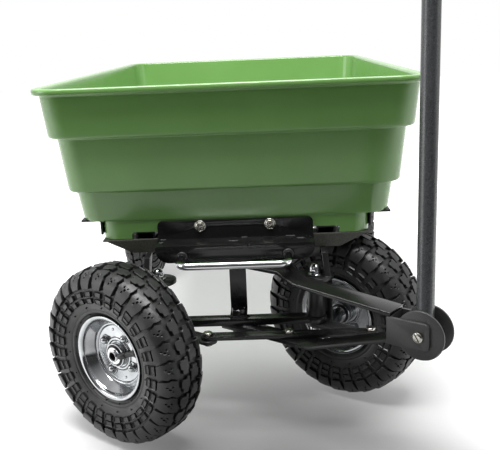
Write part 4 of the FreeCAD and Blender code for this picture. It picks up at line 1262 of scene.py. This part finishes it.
room = {
    # how bright the surroundings are in front, behind and above
    "front": 0.07, "back": 1.0, "above": 0.7,
    # shares of a direction: from front to back, and from level to overhead
    "frontEnd": -0.75, "backEnd": 0.25, "levelEnd": 0.25, "aboveEnd": 0.95,
    "fill": 0.62,  # what dull surfaces get of it
}


def makeWorld():
    # white behind, at the sides and above, dark from the front; the camera sees it plain white
    world = bpy.data.worlds.new("white_studio")
    bpy.context.scene.world = world
    world.use_nodes = True
    tree = world.node_tree
    light = tree.nodes["Background"]
    light.inputs["Color"].default_value = (1, 1, 1, 1)
    way = addNode(tree, "TexCoord").outputs["Generated"]
    parts = addNode(tree, "SeparateXYZ", links={0: way}).outputs
    across = addNode(tree, "MapRange", {
        "From Min": room["frontEnd"], "From Max": room["backEnd"],
        "To Min": room["front"], "To Max": room["back"],
    }, {"Value": parts["Y"]}).outputs["Result"]
    upward = addNode(tree, "MapRange", {
        "From Min": room["levelEnd"], "From Max": room["aboveEnd"], "To Max": room["above"],
    }, {"Value": parts["Z"]}).outputs["Result"]
    seen = addNode(tree, "LightPath").outputs
    fill = addNode(
        tree, "MapRange", {"To Min": 1.0, "To Max": room["fill"]},
        {"Value": seen["Is Diffuse Ray"]},
    ).outputs["Result"]
    level = across
    for how, other in ((larger, upward), (multiply, fill), (larger, seen["Is Camera Ray"])):
        level = addNode(tree, "Math", how, {0: level, 1: other}).outputs[0]
    tree.links.new(level, light.inputs["Strength"])


softboxes = [
    # name, place, aim, width, depth, power
    ("overhead_softbox", (-0.1, -0.62, 2.5), (0, 0.1, 0.35), 1.8, 1.0, 112),
    ("left_softbox", (-2.5, -0.9, 1.0), (0, -0.2, 0.25), 1.4, 1.4, 20),
    ("right_softbox", (2.4, -0.9, 1.2), (0, -0.1, 0.4), 0.8, 1.4, 5),
]


def makeLights():
    for name, place, aim, width, depth, power in softboxes:
        turn = (Vector(aim) - Vector(place)).to_track_quat("-Z", "Y").to_euler()
        bpy.ops.object.light_add(type="AREA", location=place, rotation=turn)
        lamp = bpy.context.object
        lamp.name = name
        lamp.data.shape = "RECTANGLE"
        lamp.data.size = width
        lamp.data.size_y = depth
        lamp.data.energy = power


view = {
    "place": (0.0521, -1.3336, 0.5607), "down": 14.56, "yaw": 1.65, "roll": 2.40,
    "lens": 53.5, "sensor": 36,
}


def makeCamera():
    turn = (
        Matrix.Rotation(radians(view["yaw"]), 4, "Z")
        @ Matrix.Rotation(radians(90 - view["down"]), 4, "X")
        @ Matrix.Rotation(radians(-view["roll"]), 4, "Z")
    )
    bpy.ops.object.camera_add(location=view["place"], rotation=turn.to_euler())
    camera = bpy.context.object
    camera.name = "front_view"
    camera.data.lens = view["lens"]
    camera.data.sensor_width = view["sensor"]
    bpy.context.scene.camera = camera


makeStage()
makeWorld()
makeLights()
makeCamera()
bpy.context.scene.view_settings.view_transform = "Standard"
print("stage lit")

clearSelection()
